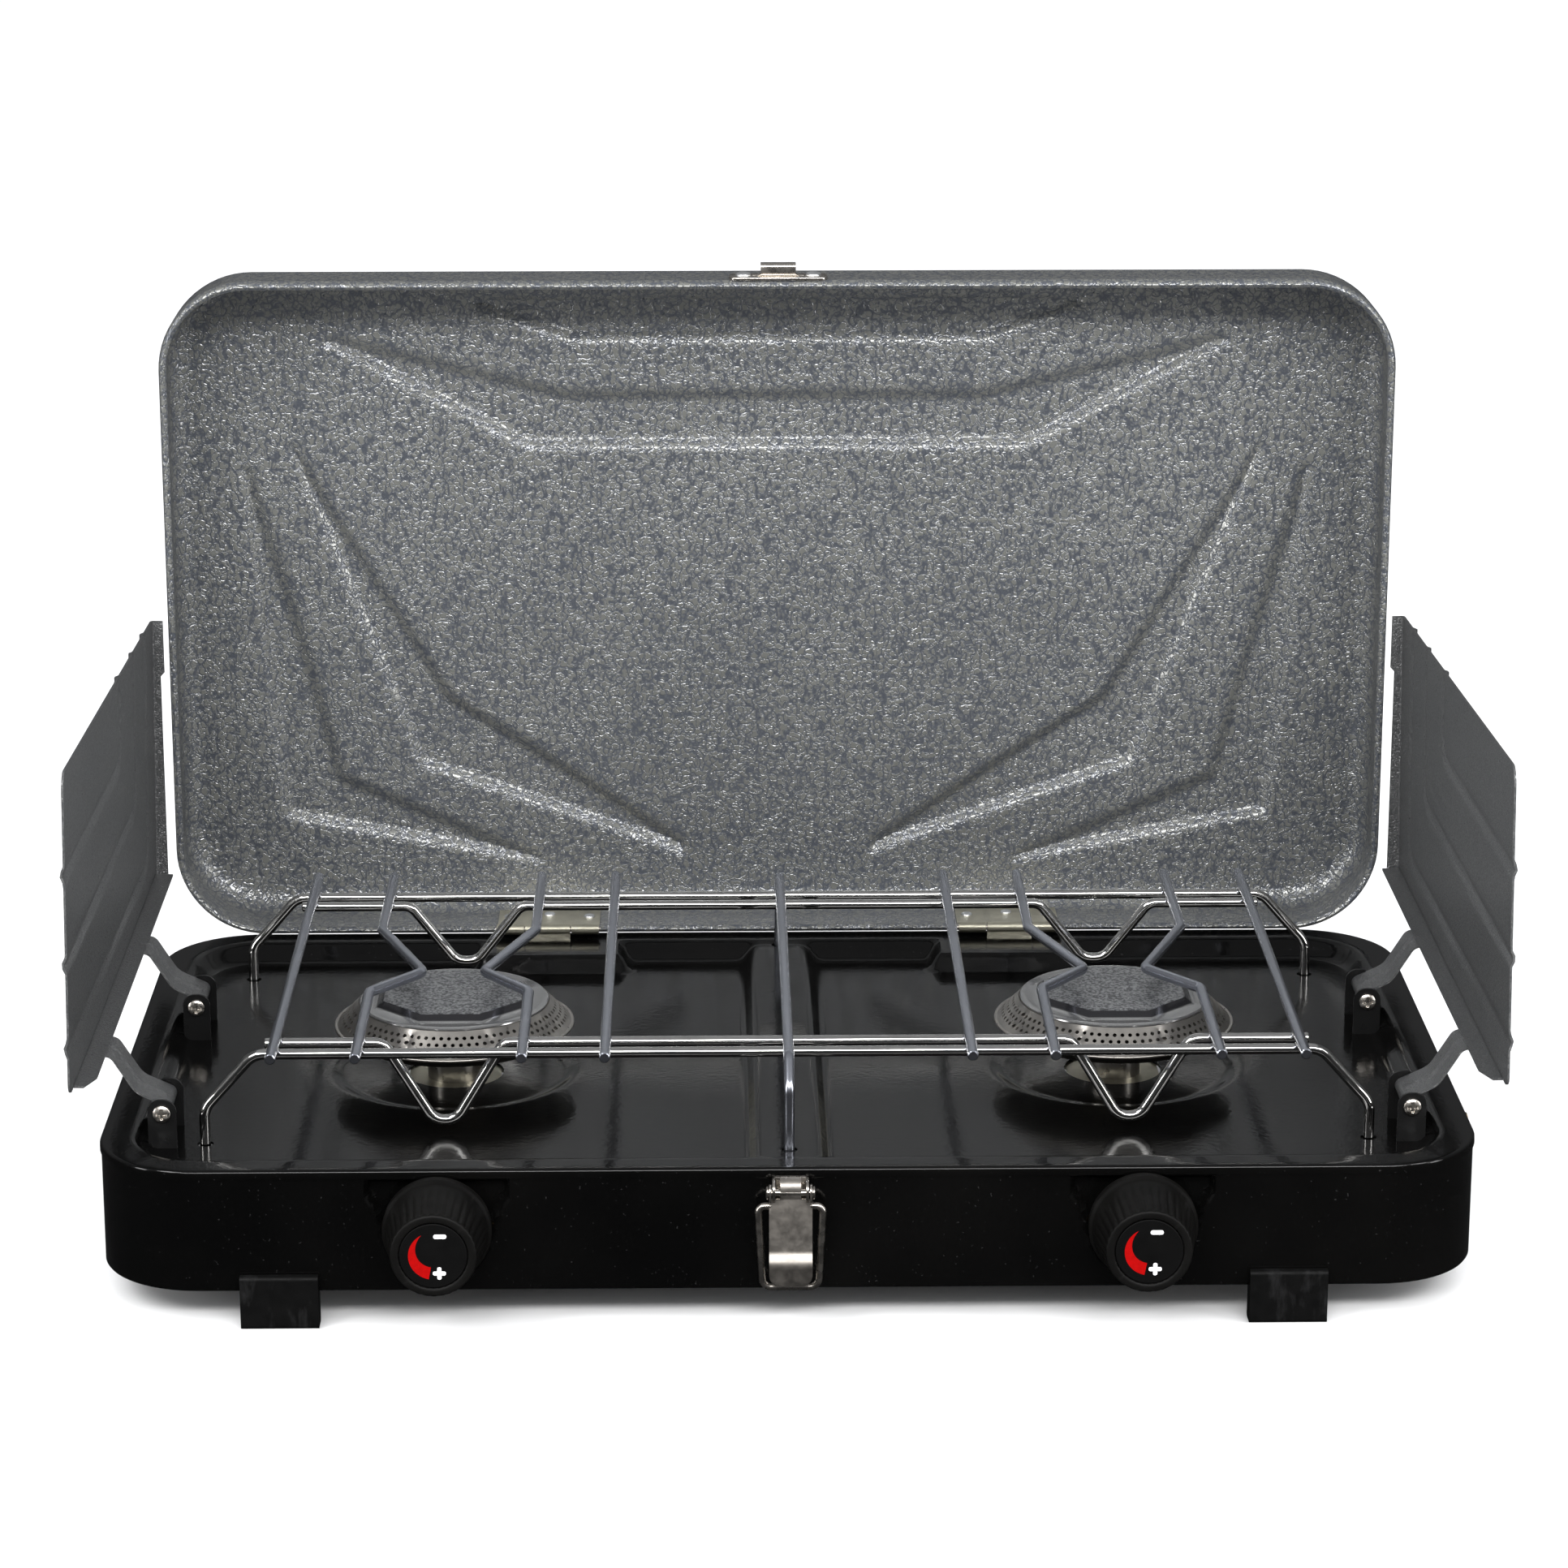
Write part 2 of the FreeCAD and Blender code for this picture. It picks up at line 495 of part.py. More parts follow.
# ---------------------------------------------------------------- windshields
for side, side_name in ((-1, "left"), (1, "right")):
    name = "windshield_" + side_name
    body = new_body(name)
    inner = D["shield_x"]
    outer = inner + D["shield_sheet"]
    flange_in = D["flange_clear_x"]
    low, rear, lead = D["shield_bottom"], D["shield_rear"], D["shield_front"]
    front_top, rear_top = D["shield_front_top"], D["shield_rear_top"]
    panel = new_sketch(body, name + "_panel", "YZ_Plane", "%d * shield_x" % side)
    add_outline(panel, [(lead, low), (rear, low), (rear, rear_top), (lead, front_top)], [4, 1, 1, 6])
    body.Tip = pad(body, panel, "shield_sheet", flip=side < 0)
    foot = new_sketch(body, name + "_foot", "XY_Plane", "shield_bottom")
    add_outline(foot, [(side * (outer - 0.4), lead + 8), (side * (outer - 0.4), rear), (side * flange_in, rear),
                       (side * flange_in, lead + 20)])
    pad(body, foot, "shield_sheet")
    back = new_sketch(body, name + "_back", "XZ_Plane", "-shield_rear")
    slope = math.tan(math.radians(D["shield_lean"]))
    pivot_x, pivot_z = D["shield_pivot_x"], D["shield_pivot_z"]
    back_top = rear_top - 0.5
    add_outline(back, [(side * (flange_in + (z - pivot_z) * slope), z) for z in (low, back_top)]
                + [(side * (outer - 0.4), z) for z in (back_top, low)])
    pad(body, back, "shield_sheet")
    tab = new_sketch(body, name + "_hook", "XZ_Plane", "-shield_rear")
    add_outline(tab, rect_points(side * (flange_in + 2.6), 176.5, side * (outer - 0.4), 181.5))
    pad(body, tab, 2.4, flip=True)
    strip = [(outer - 0.4, low), (outer - 0.4, low + 0.8), (247, low + 0.8), (243.5, low - 1.4), (236.5, 73.2),
             (pivot_x + 0.5, pivot_z + 2.9), (pivot_x + 2.2, pivot_z + 1.2), (238, 72.2), (244.6, low - 2.6),
             (247.6, low)]
    for label, y in (("front", "arm_front_y"), ("rear", "arm_rear_y")):
        arm = new_sketch(body, "%s_arm_%s" % (name, label), "XZ_Plane", "-%s + arm_width / 2" % y)
        add_outline(arm, [(side * x, z) for x, z in strip])
        pad(body, arm, "arm_width", flip=True)
        roll = new_sketch(body, "%s_roll_%s" % (name, label), "XZ_Plane", "-%s + arm_width / 2" % y)
        add_circle(roll, side * pivot_x, pivot_z, 3.2)
        pad(body, roll, "arm_width", flip=True)
    ribs = new_sketch(body, name + "_ribs", "YZ_Plane", "%.1f" % (side * (outer - 0.1)))
    for y, corner_z, front_z in ((22, 165, 169), (66, 134, 136), (103, 100, 105)):
        top = rear_top + (front_top - rear_top) * (rear - y) / (rear - lead) - 0.4
        add_outline(ribs, [(lead, front_z - 2.5), (y + 2.5, corner_z - 2.5), (y + 2.5, top), (y - 2.5, top),
                           (y - 2.5, corner_z + 2.5), (lead, front_z + 2.5)], [0, 6, 0, 0, 3, 0])
    pad(body, ribs, 1.3, flip=side < 0)
    eyes = new_sketch(body, name + "_eyes", "XZ_Plane", 100)
    add_circle(eyes, side * pivot_x, pivot_z, D["screw_radius"] + 0.05, "screw_radius + 0.05")
    body.Tip = pocket(body, eyes, 160)
    lean = FreeCAD.Rotation(V(0, 1, 0), -side * D["shield_lean"])
    body.Placement = FreeCAD.Placement(V(0, 0, 0), lean, V(side * pivot_x, 0, pivot_z))
    nodes[name] = body

    screws = []
    for end_name, y in (("front", "arm_front_y"), ("rear", "arm_rear_y")):
        bracket = new_body("shield_bracket_%s_%s" % (end_name, side_name))
        plate = new_sketch(bracket, bracket.Name + "_plate", "XY_Plane", "panel_top - sheet - bracket_sheet")
        reach = D["ear_gap"] / 2 + D["bracket_sheet"]
        left_edge, right_edge = (side * pivot_x + end * D["bracket_width"] / 2 for end in (-1, 1))
        add_outline(plate, rect_points(left_edge, D[y] - reach, right_edge, D[y] + reach))
        pad(bracket, plate, "bracket_sheet")
        ear_bottom = D["panel_top"] - D["sheet"]
        for index, start in enumerate(("ear_gap / 2 + bracket_sheet", "-ear_gap / 2")):
            ear = new_sketch(bracket, "%s_ear%d" % (bracket.Name, index), "XZ_Plane", "-%s + %s" % (y, start))
            add_outline(ear, rect_points(left_edge, ear_bottom, right_edge, D["ear_top"]), [0, 0, 4.5, 4.5])
            pad(bracket, ear, "bracket_sheet", flip=True)
        eye = new_sketch(bracket, bracket.Name + "_eye", "XZ_Plane", "-%s + 20" % y)
        add_circle(eye, side * pivot_x, pivot_z, D["screw_radius"] + 0.05, "screw_radius + 0.05")
        bracket.Tip = pocket(bracket, eye, 40)
        nodes[bracket.Name] = bracket
        s = "%d * shield_pivot_x" % side
        shank = cylinder("screw_shank_%s_%s" % (end_name, side_name), "y", s, y + " - ear_gap / 2 - 1.2",
                         "shield_pivot_z", "screw_radius", "ear_gap + 3.6")
        head = cylinder("screw_head_%s_%s" % (end_name, side_name), "y", s, y + " - ear_gap / 2 - 3.2",
                        "shield_pivot_z", 3.2, 2)
        nut = cylinder("screw_nut_%s_%s" % (end_name, side_name), "y", s, y + " + ear_gap / 2 + 1.2",
                       "shield_pivot_z", 2.8, 1.6)
        screws.append(fuse("screw_%s_%s" % (end_name, side_name), shank, head, nut))
    nodes["pivot_screws_" + side_name] = group("pivot_screws_" + side_name, *screws)

# ---------------------------------------------------------------- lid
lid = new_body("lid_shell")
half_lid, low, high = D["lid_width"] / 2, D["lid_bottom"], D["lid_top"]
pan = new_sketch(lid, "lid_pan_outline", "XZ_Plane", "-lid_front")
add_outline(pan, rect_points(-half_lid, low, half_lid, high), D["lid_corner"])
shell = pad(lid, pan, "lid_depth", flip=True)
back_y = D["lid_front"] + D["lid_depth"]
shell = fillet(lid, shell, "lid_outer_round", "lid_round", lambda b: b.YMin > back_y - 0.01)
doc.recompute()
mouth = ["Face%d" % (i + 1) for i, face in enumerate(shell.Shape.Faces)
         if face.BoundBox.YMax < D["lid_front"] + 0.01]
skin = lid.newObject("PartDesign::Thickness", "lid_skin")
skin.Base = (shell, mouth)
bind(skin, "Value", "sheet")
skin.Reversed = True
lip = new_sketch(lid, "lid_lip_outline", "XZ_Plane", "-lid_front")
for inset in (0.3, D["lid_lip"]):
    add_outline(lip, rect_points(-half_lid + inset, low + inset, half_lid - inset, high - inset),
                D["lid_corner"] - inset)
pad(lid, lip, 2.2, flip=True)
slots = new_sketch(lid, "shield_hook_slots", "YZ_Plane", "-lid_width / 2 - 1")
add_outline(slots, rect_points(145.5, 173.5, 149.5, 183.5), 1.9)
lid.Tip = pocket(lid, slots, "lid_width + 2", flip=True)
nodes["lid_shell"] = lid

catch_plate = box("catch_plate", -19.5, "lid_front + 2", "lid_top", 39, 11, 1.2)
catch_post = box("catch_post", -7, "lid_front + 5", "lid_top", 14, 1.2, 6.4)
catch_lip = box("catch_lip", -7, "lid_front + 5", "lid_top + 5.2", 14, 4, 1.2)
nodes["lid_catch"] = fuse("lid_catch", catch_plate, catch_post, catch_lip)
nodes["catch_rivets"] = group("catch_rivets", *[
    cylinder("catch_rivet_%d" % i, "z", x, "lid_front + 8", "lid_top + 1.2", 3.2, 1.0)
    for i, x in enumerate((-14, 14))])

# ---------------------------------------------------------------- lid hinges
leaf_z, wall_z = "lid_bottom + lid_lip", "lid_bottom + sheet"
step_y = "lid_front + 3"
rivets, pins = [], []
for side, side_name in ((-1, "left"), (1, "right")):
    s = "%d * hinge_x" % side
    leaf_left = s + " - hinge_width / 2"
    leaf = box("leaf_flat_" + side_name, leaf_left, step_y, wall_z, "hinge_width", 24, "leaf_sheet")
    step = box("leaf_step_" + side_name, leaf_left, step_y, wall_z, "hinge_width", "leaf_sheet",
               "lid_lip - sheet + leaf_sheet")
    over = box("leaf_over_" + side_name, leaf_left, "pin_y", leaf_z, "hinge_width",
               step_y + " + leaf_sheet - pin_y", "leaf_sheet")
    rolls = [cylinder("leaf_roll_%s_%d" % (side_name, i), "x", s + " %+.1f" % x, "pin_y", "pin_z", "knuckle_radius",
                      11.2) for i, x in enumerate((-21.0, 9.8))]
    bore = cylinder("leaf_bore_" + side_name, "x", s + " - 22", "pin_y", "pin_z", "pin_radius + 0.05", 44)
    gap = box("leaf_gap_" + side_name, s + " - 9.8", "pin_y - 4", "pin_z - 4", 19.6, 7, 7)
    nodes["lid_hinge_leaf_" + side_name] = cut("lid_hinge_leaf_" + side_name,
                                               fuse("leaf_" + side_name, leaf, step, over, *rolls), bore, gap)
    base_roll = cylinder("base_roll_" + side_name, "x", s + " - 9.2", "pin_y", "pin_z", "knuckle_radius", 18.4)
    tongue = box("base_tongue_" + side_name, s + " - 9.2", 130, 50, 18.4, 1.2, "pin_z - 50 - 1.3")
    foot = box("base_foot_" + side_name, s + " - 9.2", 130, 50, 18.4, "case_depth / 2 - sheet - 130", 1.2)
    base_bore = cylinder("base_bore_" + side_name, "x", s + " - 22", "pin_y", "pin_z", "pin_radius + 0.05", 44)
    nodes["base_hinge_leaf_" + side_name] = cut("base_hinge_leaf_" + side_name,
                                                fuse("base_leaf_" + side_name, base_roll, tongue, foot), base_bore)
    pins.append(cylinder("hinge_pin_" + side_name, "x", s + " - 21.5", "pin_y", "pin_z", "pin_radius", 43))
    for i, (x, y) in enumerate(((-16.5, 151.5), (0, 154.5), (16.5, 151.5))):
        rivets.append(cylinder("leaf_rivet_%s_%d" % (side_name, i), "z", s + " %+.1f" % x, y,
                               wall_z + " + leaf_sheet", 2.2, 0.9))
nodes["hinge_pins"] = group("hinge_pins", *pins)
nodes["hinge_rivets"] = group("hinge_rivets", *rivets)

# ---------------------------------------------------------------- latch
wall = "-case_depth / 2"
plate = box("latch_plate", -6.5, wall + " - 1", 40, 13, 1, 15.5)
ears = [box("latch_ear_%d" % i, x, "latch_y - 2.5", 48.5, 1, "-latch_y + 2.5 - case_depth / 2", 7)
        for i, x in enumerate((-6.5, 5.5))]
ear_bore = cylinder("latch_ear_bore", "x", -10, "latch_y", "latch_z", 1.25, 20)
nodes["latch_bracket"] = cut("latch_bracket", fuse("latch_bracket_solid", plate, *ears), ear_bore)
nodes["latch_pin"] = cylinder("latch_pin", "x", -8.8, "latch_y", "latch_z", 1.2, 17.6)
nodes["latch_rivets"] = group("latch_rivets", *[
    cylinder("latch_rivet_%d" % i, "y", x, wall + " - 1.9", 42.5, 1.6, 0.9) for i, x in enumerate((-3.6, 3.6))])

lever = new_body("latch_lever")
side_view = new_sketch(lever, "lever_profile", "YZ_Plane", -7.7)
add_outline(side_view, [(-145.2, 30), (-145.2, 50), (-144, 50), (-144, 30), (-146, 26), (-146, 18.5), (-147.2, 18.5),
                        (-147.2, 26.5)])
pad(lever, side_view, 15.4)
for index, x in enumerate((-7.7, 6.7)):
    cheek = new_sketch(lever, "lever_cheek%d" % index, "YZ_Plane", x)
    add_outline(cheek, rect_points(-147, 43.5, -141, 55.5), [1, 1, 2.9, 2.9])
    pad(lever, cheek, 1)
window = new_sketch(lever, "lever_window", "XZ_Plane", 140)
add_outline(window, rect_points(-6.7, 45, 6.7, 60))
pocket(lever, window, 8, flip=True)
lever_holes = new_sketch(lever, "lever_holes", "YZ_Plane", 10)
add_circle(lever_holes, D["latch_y"], D["latch_z"], 1.25)
add_circle(lever_holes, D["latch_y"], D["bail_z"], 1.35)
lever.Tip = pocket(lever, lever_holes, 20)
nodes["latch_lever"] = lever
bail_points = [(-6.8, D["bail_z"]), (-11.6, D["bail_z"]), (-9.9, 16.6), (9.9, 16.6), (11.6, D["bail_z"]),
               (6.8, D["bail_z"])]
nodes["latch_bail"] = bent_wire("latch_bail", "XZ_Plane", "-latch_y", bail_points, [0, 1.6, 3, 3, 1.6, 0], "YZ_Plane",
                                -6.8, (D["latch_y"], D["bail_z"]), "bail_radius")

# ---------------------------------------------------------------- gas inlet
nodes["gas_inlet"] = cut("gas_inlet", fuse("inlet_solid", inlet_block, inlet_neck), inlet_socket, inlet_passage)

doc.recompute()
os.makedirs("parts", exist_ok=True)
for obj in doc.Objects:
    if "Invalid" in obj.State or "Error" in obj.State:
        raise RuntimeError("%s did not rebuild" % obj.Name)
for name, obj in nodes.items():
    obj.Label = name
    shape = obj.Shape
    if shape.isNull() or not shape.isValid() or not shape.Solids:
        raise RuntimeError("%s has no valid solid" % name)
    shape.exportStep("parts/%s.step" % name)
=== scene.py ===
"""Camp stove, standing open: the looks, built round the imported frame.

Shapes are given in millimetres, as in the CAD, and turned into metres when a piece is made.
"""
import math

import bmesh
import bpy
import numpy as np
from mathutils import Matrix, Vector


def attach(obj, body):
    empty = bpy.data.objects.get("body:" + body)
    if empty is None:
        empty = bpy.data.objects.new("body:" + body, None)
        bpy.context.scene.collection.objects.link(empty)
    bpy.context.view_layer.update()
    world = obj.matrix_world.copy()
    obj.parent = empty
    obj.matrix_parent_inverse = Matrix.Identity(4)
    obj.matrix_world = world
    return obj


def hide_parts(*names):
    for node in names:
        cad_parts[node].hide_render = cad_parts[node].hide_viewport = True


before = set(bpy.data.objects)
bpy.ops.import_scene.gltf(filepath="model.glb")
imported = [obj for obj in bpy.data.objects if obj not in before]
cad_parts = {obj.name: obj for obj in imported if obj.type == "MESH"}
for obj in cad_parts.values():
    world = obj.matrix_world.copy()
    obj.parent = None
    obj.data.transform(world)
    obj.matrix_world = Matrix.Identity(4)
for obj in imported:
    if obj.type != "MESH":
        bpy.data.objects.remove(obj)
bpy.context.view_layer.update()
MM = 0.001
SIDES = ((-1, "left"), (1, "right"))

# Case: half sizes, corner radius, heights, the rim's roll and the seam under it
CASE_X, CASE_Y, CASE_R = 250.0, 138.0, 38.0
CASE_LOW, RIM_TOP, RIB_TOP, PANEL_TOP = 13.5, 59.5, 58.3, 52.5
RIM_ROLL, RIM_SEAM, WALL_STEP = 1.5, 56.0, 0.5
BURNER_X, BURNER_Y, KNOB_Z, INLET_Y = 126.0, -8.0, 38.0, -50.0
# Sunken panel, centre rib, hinge bosses, burner dishes and knob pockets
PANEL_X, PANEL_Y, PANEL_R, PANEL_WALL = 238.0, 127.0, 27.0, 7.5
RIB_HALF, RIB_WALL = 17.0, 8.0
BOSS_X, BOSS_Y, BOSS_HALF, BOSS_WALL = 93.0, 109.0, 27.0, 6.0
DISH_R, DISH_WALL, DISH_DEPTH = 48.0, 6.0, 2.0
POCKET_DEPTH, POCKET_WALL, POCKET_LEAST = 4.0, 2.2, 0.35
# Radii of the case's holes
NECK_HOLE, LEG_HOLE, STEM_HOLE, INLET_HOLE = 18.5, 3.0, 5.0, 11.0
# Lid: half sizes, corner radius, front edge, back, depth of its panels, turn of the wall, hook slots
LID_X, LID_HALF_Z, LID_MID_Z, LID_R = 247.0, 135.55, 195.45, 36.0
LID_FRONT, LID_FIELD, LID_BULGE, LID_TURN = 134.0, 169.2, 3.2, 10.0
SLOT_Y, SLOT_Z = 147.5, 178.5
# Windshields: the panel, its rear fold, its flanges, the pivots and the arms
SHIELD_X, SHIELD_LOW, SHIELD_FRONT, SHIELD_REAR = 255.6, 87.4, -138.0, 129.6
SHIELD_BEND, FLANGE_X, FOOT_FRONT = 128.4, 248.2, -130.0
PIVOT_X, PIVOT_Z, LEAN = 228.0, 66.0, math.radians(1.2)
ARM_YS, ARM_WIDTH, CURL_R, EAR_OUT = (-83.0, 37.0), 21.0, 2.7, 12.6
# Burner caps: top, lower edge of the grain and upper edge of the rim
CAP_TOP, CAP_GRAIN_Z, CAP_RIM_Z = 82.9, 82.5, 80.6
# Grate: the wires' radius and heights, their places and ends
WIRE_R, ROD_Z, WIRE_Z = 2.0, 87.0, 90.7
RAIL_YS, VROD_YS, CENTRE_YS = (-91.0, 99.0), (-79.0, 87.0), (-116.0, 123.0)
LEG_X, LEG_LOW, ROD_END, WIRE_ENDS = 213.0, 45.0, 191.5, (-107.8, 115.8)
# Hinge pins, on the lid's axis, and the sheet curled round them
PIN_Y, PIN_Z, HINGE_X, ROLL_R = 130.6, 63.1, 95.0, 1.725
# Knobs and latch, from the front wall outwards
KNOB_BACK, KNOB_RIM, LABEL_FACE, PRINT_BACK, PRINT_FACE = -139.0, -166.5, -166.3, -166.2, -166.4
LATCH_BACK, LATCH_PIVOT_Y = -139.0, -144.0


# ---------- shape helpers
def smooth(t):
    t = np.clip(t, 0.0, 1.0)
    return t * t * (3.0 - 2.0 * t)


def segment_distance(x, y, a, b):
    """Distance of each point from the straight line between two points."""
    ex, ey = b[0] - a[0], b[1] - a[1]
    along = np.clip(((x - a[0]) * ex + (y - a[1]) * ey) / (ex * ex + ey * ey), 0.0, 1.0)
    return np.hypot(x - a[0] - along * ex, y - a[1] - along * ey)


def inside_depth(x, y, outline, widths):
    """How far each point lies inside an outline, as a share of its nearest wall's width; 0 outside."""
    inside = np.zeros(x.shape, bool)
    depth = np.full(x.shape, 1e9)
    for i, (ax, ay) in enumerate(outline):
        bx, by = outline[(i + 1) % len(outline)]
        depth = np.minimum(depth, segment_distance(x, y, (ax, ay), (bx, by)) / widths[i % len(widths)])
        slope = (bx - ax) / (by - ay) if by != ay else 0.0
        inside ^= ((ay > y) != (by > y)) & (x < ax + (y - ay) * slope)
    return np.where(inside, depth, 0.0)


def line_distance(x, y, path):
    """Distance of a point from an open run of straight lines."""
    return min(segment_distance(x, y, a, b) for a, b in zip(path, path[1:]))


def rounded(points, radii, closed=False, step=12.0):
    """The points with each corner turned into an arc of its radius, about one point every step degrees."""
    points = [Vector(p) for p in points]
    count = len(points)
    out = []
    for i, corner in enumerate(points):
        radius = radii[i % len(radii)]
        if radius <= 0 or (not closed and i in (0, count - 1)):
            out.append(corner)
            continue
        back = (points[i - 1] - corner).normalized()
        ahead = (points[(i + 1) % count] - corner).normalized()
        half = back.angle(ahead) / 2
        reach = radius / math.tan(half)
        centre = corner + (back + ahead).normalized() * (radius / math.sin(half))
        start, end = corner + back * reach - centre, corner + ahead * reach - centre
        parts = max(2, round(math.degrees(math.pi - 2 * half) / step))
        for k in range(parts + 1):
            out.append(centre + start.slerp(end, k / parts).normalized() * radius)
    return out


def offset_loop(half_x, half_y, radius, inset, stations_x, stations_y, arc=16):
    """Points round a rounded rectangle drawn in by inset, with fixed stations along its straight sides."""
    cx, cy, r = half_x - radius, half_y - radius, radius - inset
    loop = [(x, -cy - r) for x in stations_x]
    loop += arc_points(cx, -cy, r, -90, arc)
    loop += [(cx + r, y) for y in stations_y]
    loop += arc_points(cx, cy, r, 0, arc)
    loop += [(x, cy + r) for x in reversed(stations_x)]
    loop += arc_points(-cx, cy, r, 90, arc)
    loop += [(-cx - r, y) for y in reversed(stations_y)]
    loop += arc_points(-cx, -cy, r, 180, arc)
    return np.array(loop)


def arc_points(cx, cy, radius, start, parts):
    """The inner points of a quarter arc."""
    angles = [math.radians(start + 90 * k / parts) for k in range(1, parts)]
    return [(cx + radius * math.cos(a), cy + radius * math.sin(a)) for a in angles]


# Millimetres: points nearer than WELD are merged, and edges shorter than SLIVER are dissolved
WELD, SLIVER = 0.004, 0.001


class Build:
    """Gathers points in millimetres and faces, and turns them into one piece."""

    def __init__(self):
        self.points = []
        self.faces = []

    def grid(self, rows, closed=False):
        """Joins rows of points with faces; closed joins each row's ends."""
        start, count = len(self.points), len(rows[0])
        for row in rows:
            self.points.extend(tuple(p) for p in row)
        for i in range(len(rows) - 1):
            for j in range(count if closed else count - 1):
                a, b = start + i * count + j, start + i * count + (j + 1) % count
                self.faces.append((a, b, b + count, a + count))

    def lathe(self, profile, centre, axis="z", steps=64, wave=None):
        """Turns (radius, height) points about an axis; wave(height, angle) scales the radius."""
        rows = []
        for radius, height in profile:
            row = []
            for k in range(steps):
                angle = 2 * math.pi * k / steps
                r = radius * (wave(height, angle) if wave else 1.0)
                across = (r * math.cos(angle), r * math.sin(angle))
                local = {"z": (*across, height), "y": (across[0], height, across[1]),
                         "x": (height, *across)}[axis]
                row.append(tuple(c + v for c, v in zip(centre, local)))
            rows.append(row)
        self.grid(rows, closed=True)

    def tube(self, path, radius, sides=20, chamfer=0.35):
        """A round bar along the path, with slightly rounded ends."""
        path = [Vector(p) for p in path]
        heads = [(path[1] - path[0]).normalized(), (path[-1] - path[-2]).normalized()]
        stations = [(path[0], 0.0), (path[0], radius - chamfer), (path[0] + heads[0] * chamfer, radius)]
        stations += [(p, radius) for p in path[1:-1]]
        stations += [(path[-1] - heads[1] * chamfer, radius), (path[-1], radius - chamfer), (path[-1], 0.0)]
        spots = [p for p, _ in stations]
        rows = []
        side = heads[0].orthogonal().normalized()
        for i, (spot, r) in enumerate(stations):
            ahead = spots[min(i + 1, len(spots) - 1)] - spots[max(i - 1, 0)]
            if ahead.length < 1e-6 or i < 3:
                ahead = heads[0]
            if i > len(stations) - 4:
                ahead = heads[1]
            ahead.normalize()
            side = (side - ahead * side.dot(ahead)).normalized()
            other = ahead.cross(side)
            rows.append([spot + (side * math.cos(a) + other * math.sin(a)) * r
                         for a in (2 * math.pi * k / sides for k in range(sides))])
        self.grid(rows, closed=True)

    def prism(self, outline, axis, low, high):
        """A flat outline of two coordinates, pushed along the third axis from low to high."""
        def lift(p, at):
            a, b = p[0], p[1]
            return {"x": (at, a, b), "y": (a, at, b), "z": (a, b, at)}[axis]
        start, count = len(self.points), len(outline)
        self.grid([[lift(p, low) for p in outline], [lift(p, high) for p in outline]], closed=True)
        self.faces.append(tuple(range(start + count - 1, start - 1, -1)))
        self.faces.append(tuple(range(start + count, start + 2 * count)))

    def strip(self, path, widths, across, bead=None):
        """A sheet that follows the path; widths holds its half width at each point, across its direction.

        bead(point number, distance from the middle) lifts the sheet.
        """
        across = Vector(across)
        path = [Vector(p) for p in path]
        shares = [k / 10 - 1 for k in range(21)]
        rows = []
        for i, (spot, half) in enumerate(zip(path, widths)):
            ahead = (path[min(i + 1, len(path) - 1)] - path[max(i - 1, 0)]).normalized()
            up = across.cross(ahead)
            row = []
            for share in shares:
                lift = bead(i, half * share) if bead else 0.0
                row.append(spot + across * half * share + up * lift)
            rows.append(row)
        self.grid(rows)

    def move(self, matrix):
        self.points = [tuple(matrix @ Vector(p)) for p in self.points]

    def piece(self, name, body, slot, material, stands_for=(), thick=0.0, offset=-1.0, bevel=0.0, core=None,
              cutters=None, sharp=38.0):
        """Makes the piece; thick turns a surface into a sheet, and core is a point that lies inside it."""
        obj = mesh_object(name, self.points, self.faces, core)
        if thick:
            shell = obj.modifiers.new("sheet", "SOLIDIFY")
            shell.thickness = thick * MM
            shell.offset = offset
        if cutters:
            hole = obj.modifiers.new("holes", "BOOLEAN")
            hole.operation = "DIFFERENCE"
            hole.solver = "EXACT"
            hole.object = cutters
        if bevel:
            ease(obj, bevel)
        settle(obj, sharp)
        if cutters:
            bpy.data.objects.remove(cutters)
        obj.data.materials.clear()
        obj.data.materials.append(material)
        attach(obj, body)
        if stands_for:
            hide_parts(*stands_for)


def mesh_object(name, points, faces, core=None):
    """An object from points in millimetres, with doubles merged and faces turned outwards."""
    mesh = bpy.data.meshes.new(name)
    mesh.from_pydata([tuple(c * MM for c in p) for p in points], [], faces)
    work = bmesh.new()
    work.from_mesh(mesh)
    bmesh.ops.remove_doubles(work, verts=work.verts, dist=WELD * MM)
    bmesh.ops.dissolve_degenerate(work, dist=SLIVER * MM, edges=work.edges)
    bmesh.ops.recalc_face_normals(work, faces=work.faces)
    if core is not None:
        middle = Vector(core) * MM
        facing = sum(f.normal.dot(f.calc_center_median() - middle) * f.calc_area() for f in work.faces)
        if facing < 0:
            bmesh.ops.reverse_faces(work, faces=work.faces)
    work.to_mesh(mesh)
    work.free()
    obj = bpy.data.objects.new(name, mesh)
    bpy.context.scene.collection.objects.link(obj)
    return obj


def ease(obj, width):
    """Bevels an object's edges."""
    edge = obj.modifiers.new("edges", "BEVEL")
    edge.width = width * MM
    edge.segments = 2
    edge.limit_method = "ANGLE"
    edge.angle_limit = math.radians(40)


def settle(obj, sharp):
    """Turns an object's modifiers into plain mesh, smooth except at edges sharper than the angle."""
    bpy.context.view_layer.update()
    graph = bpy.context.evaluated_depsgraph_get()
    mesh = bpy.data.meshes.new_from_object(obj.evaluated_get(graph))
    obj.modifiers.clear()
    obj.data = mesh
    mesh.polygons.foreach_set("use_smooth", [True] * len(mesh.polygons))
    mesh.set_sharp_from_angle(angle=math.radians(sharp))


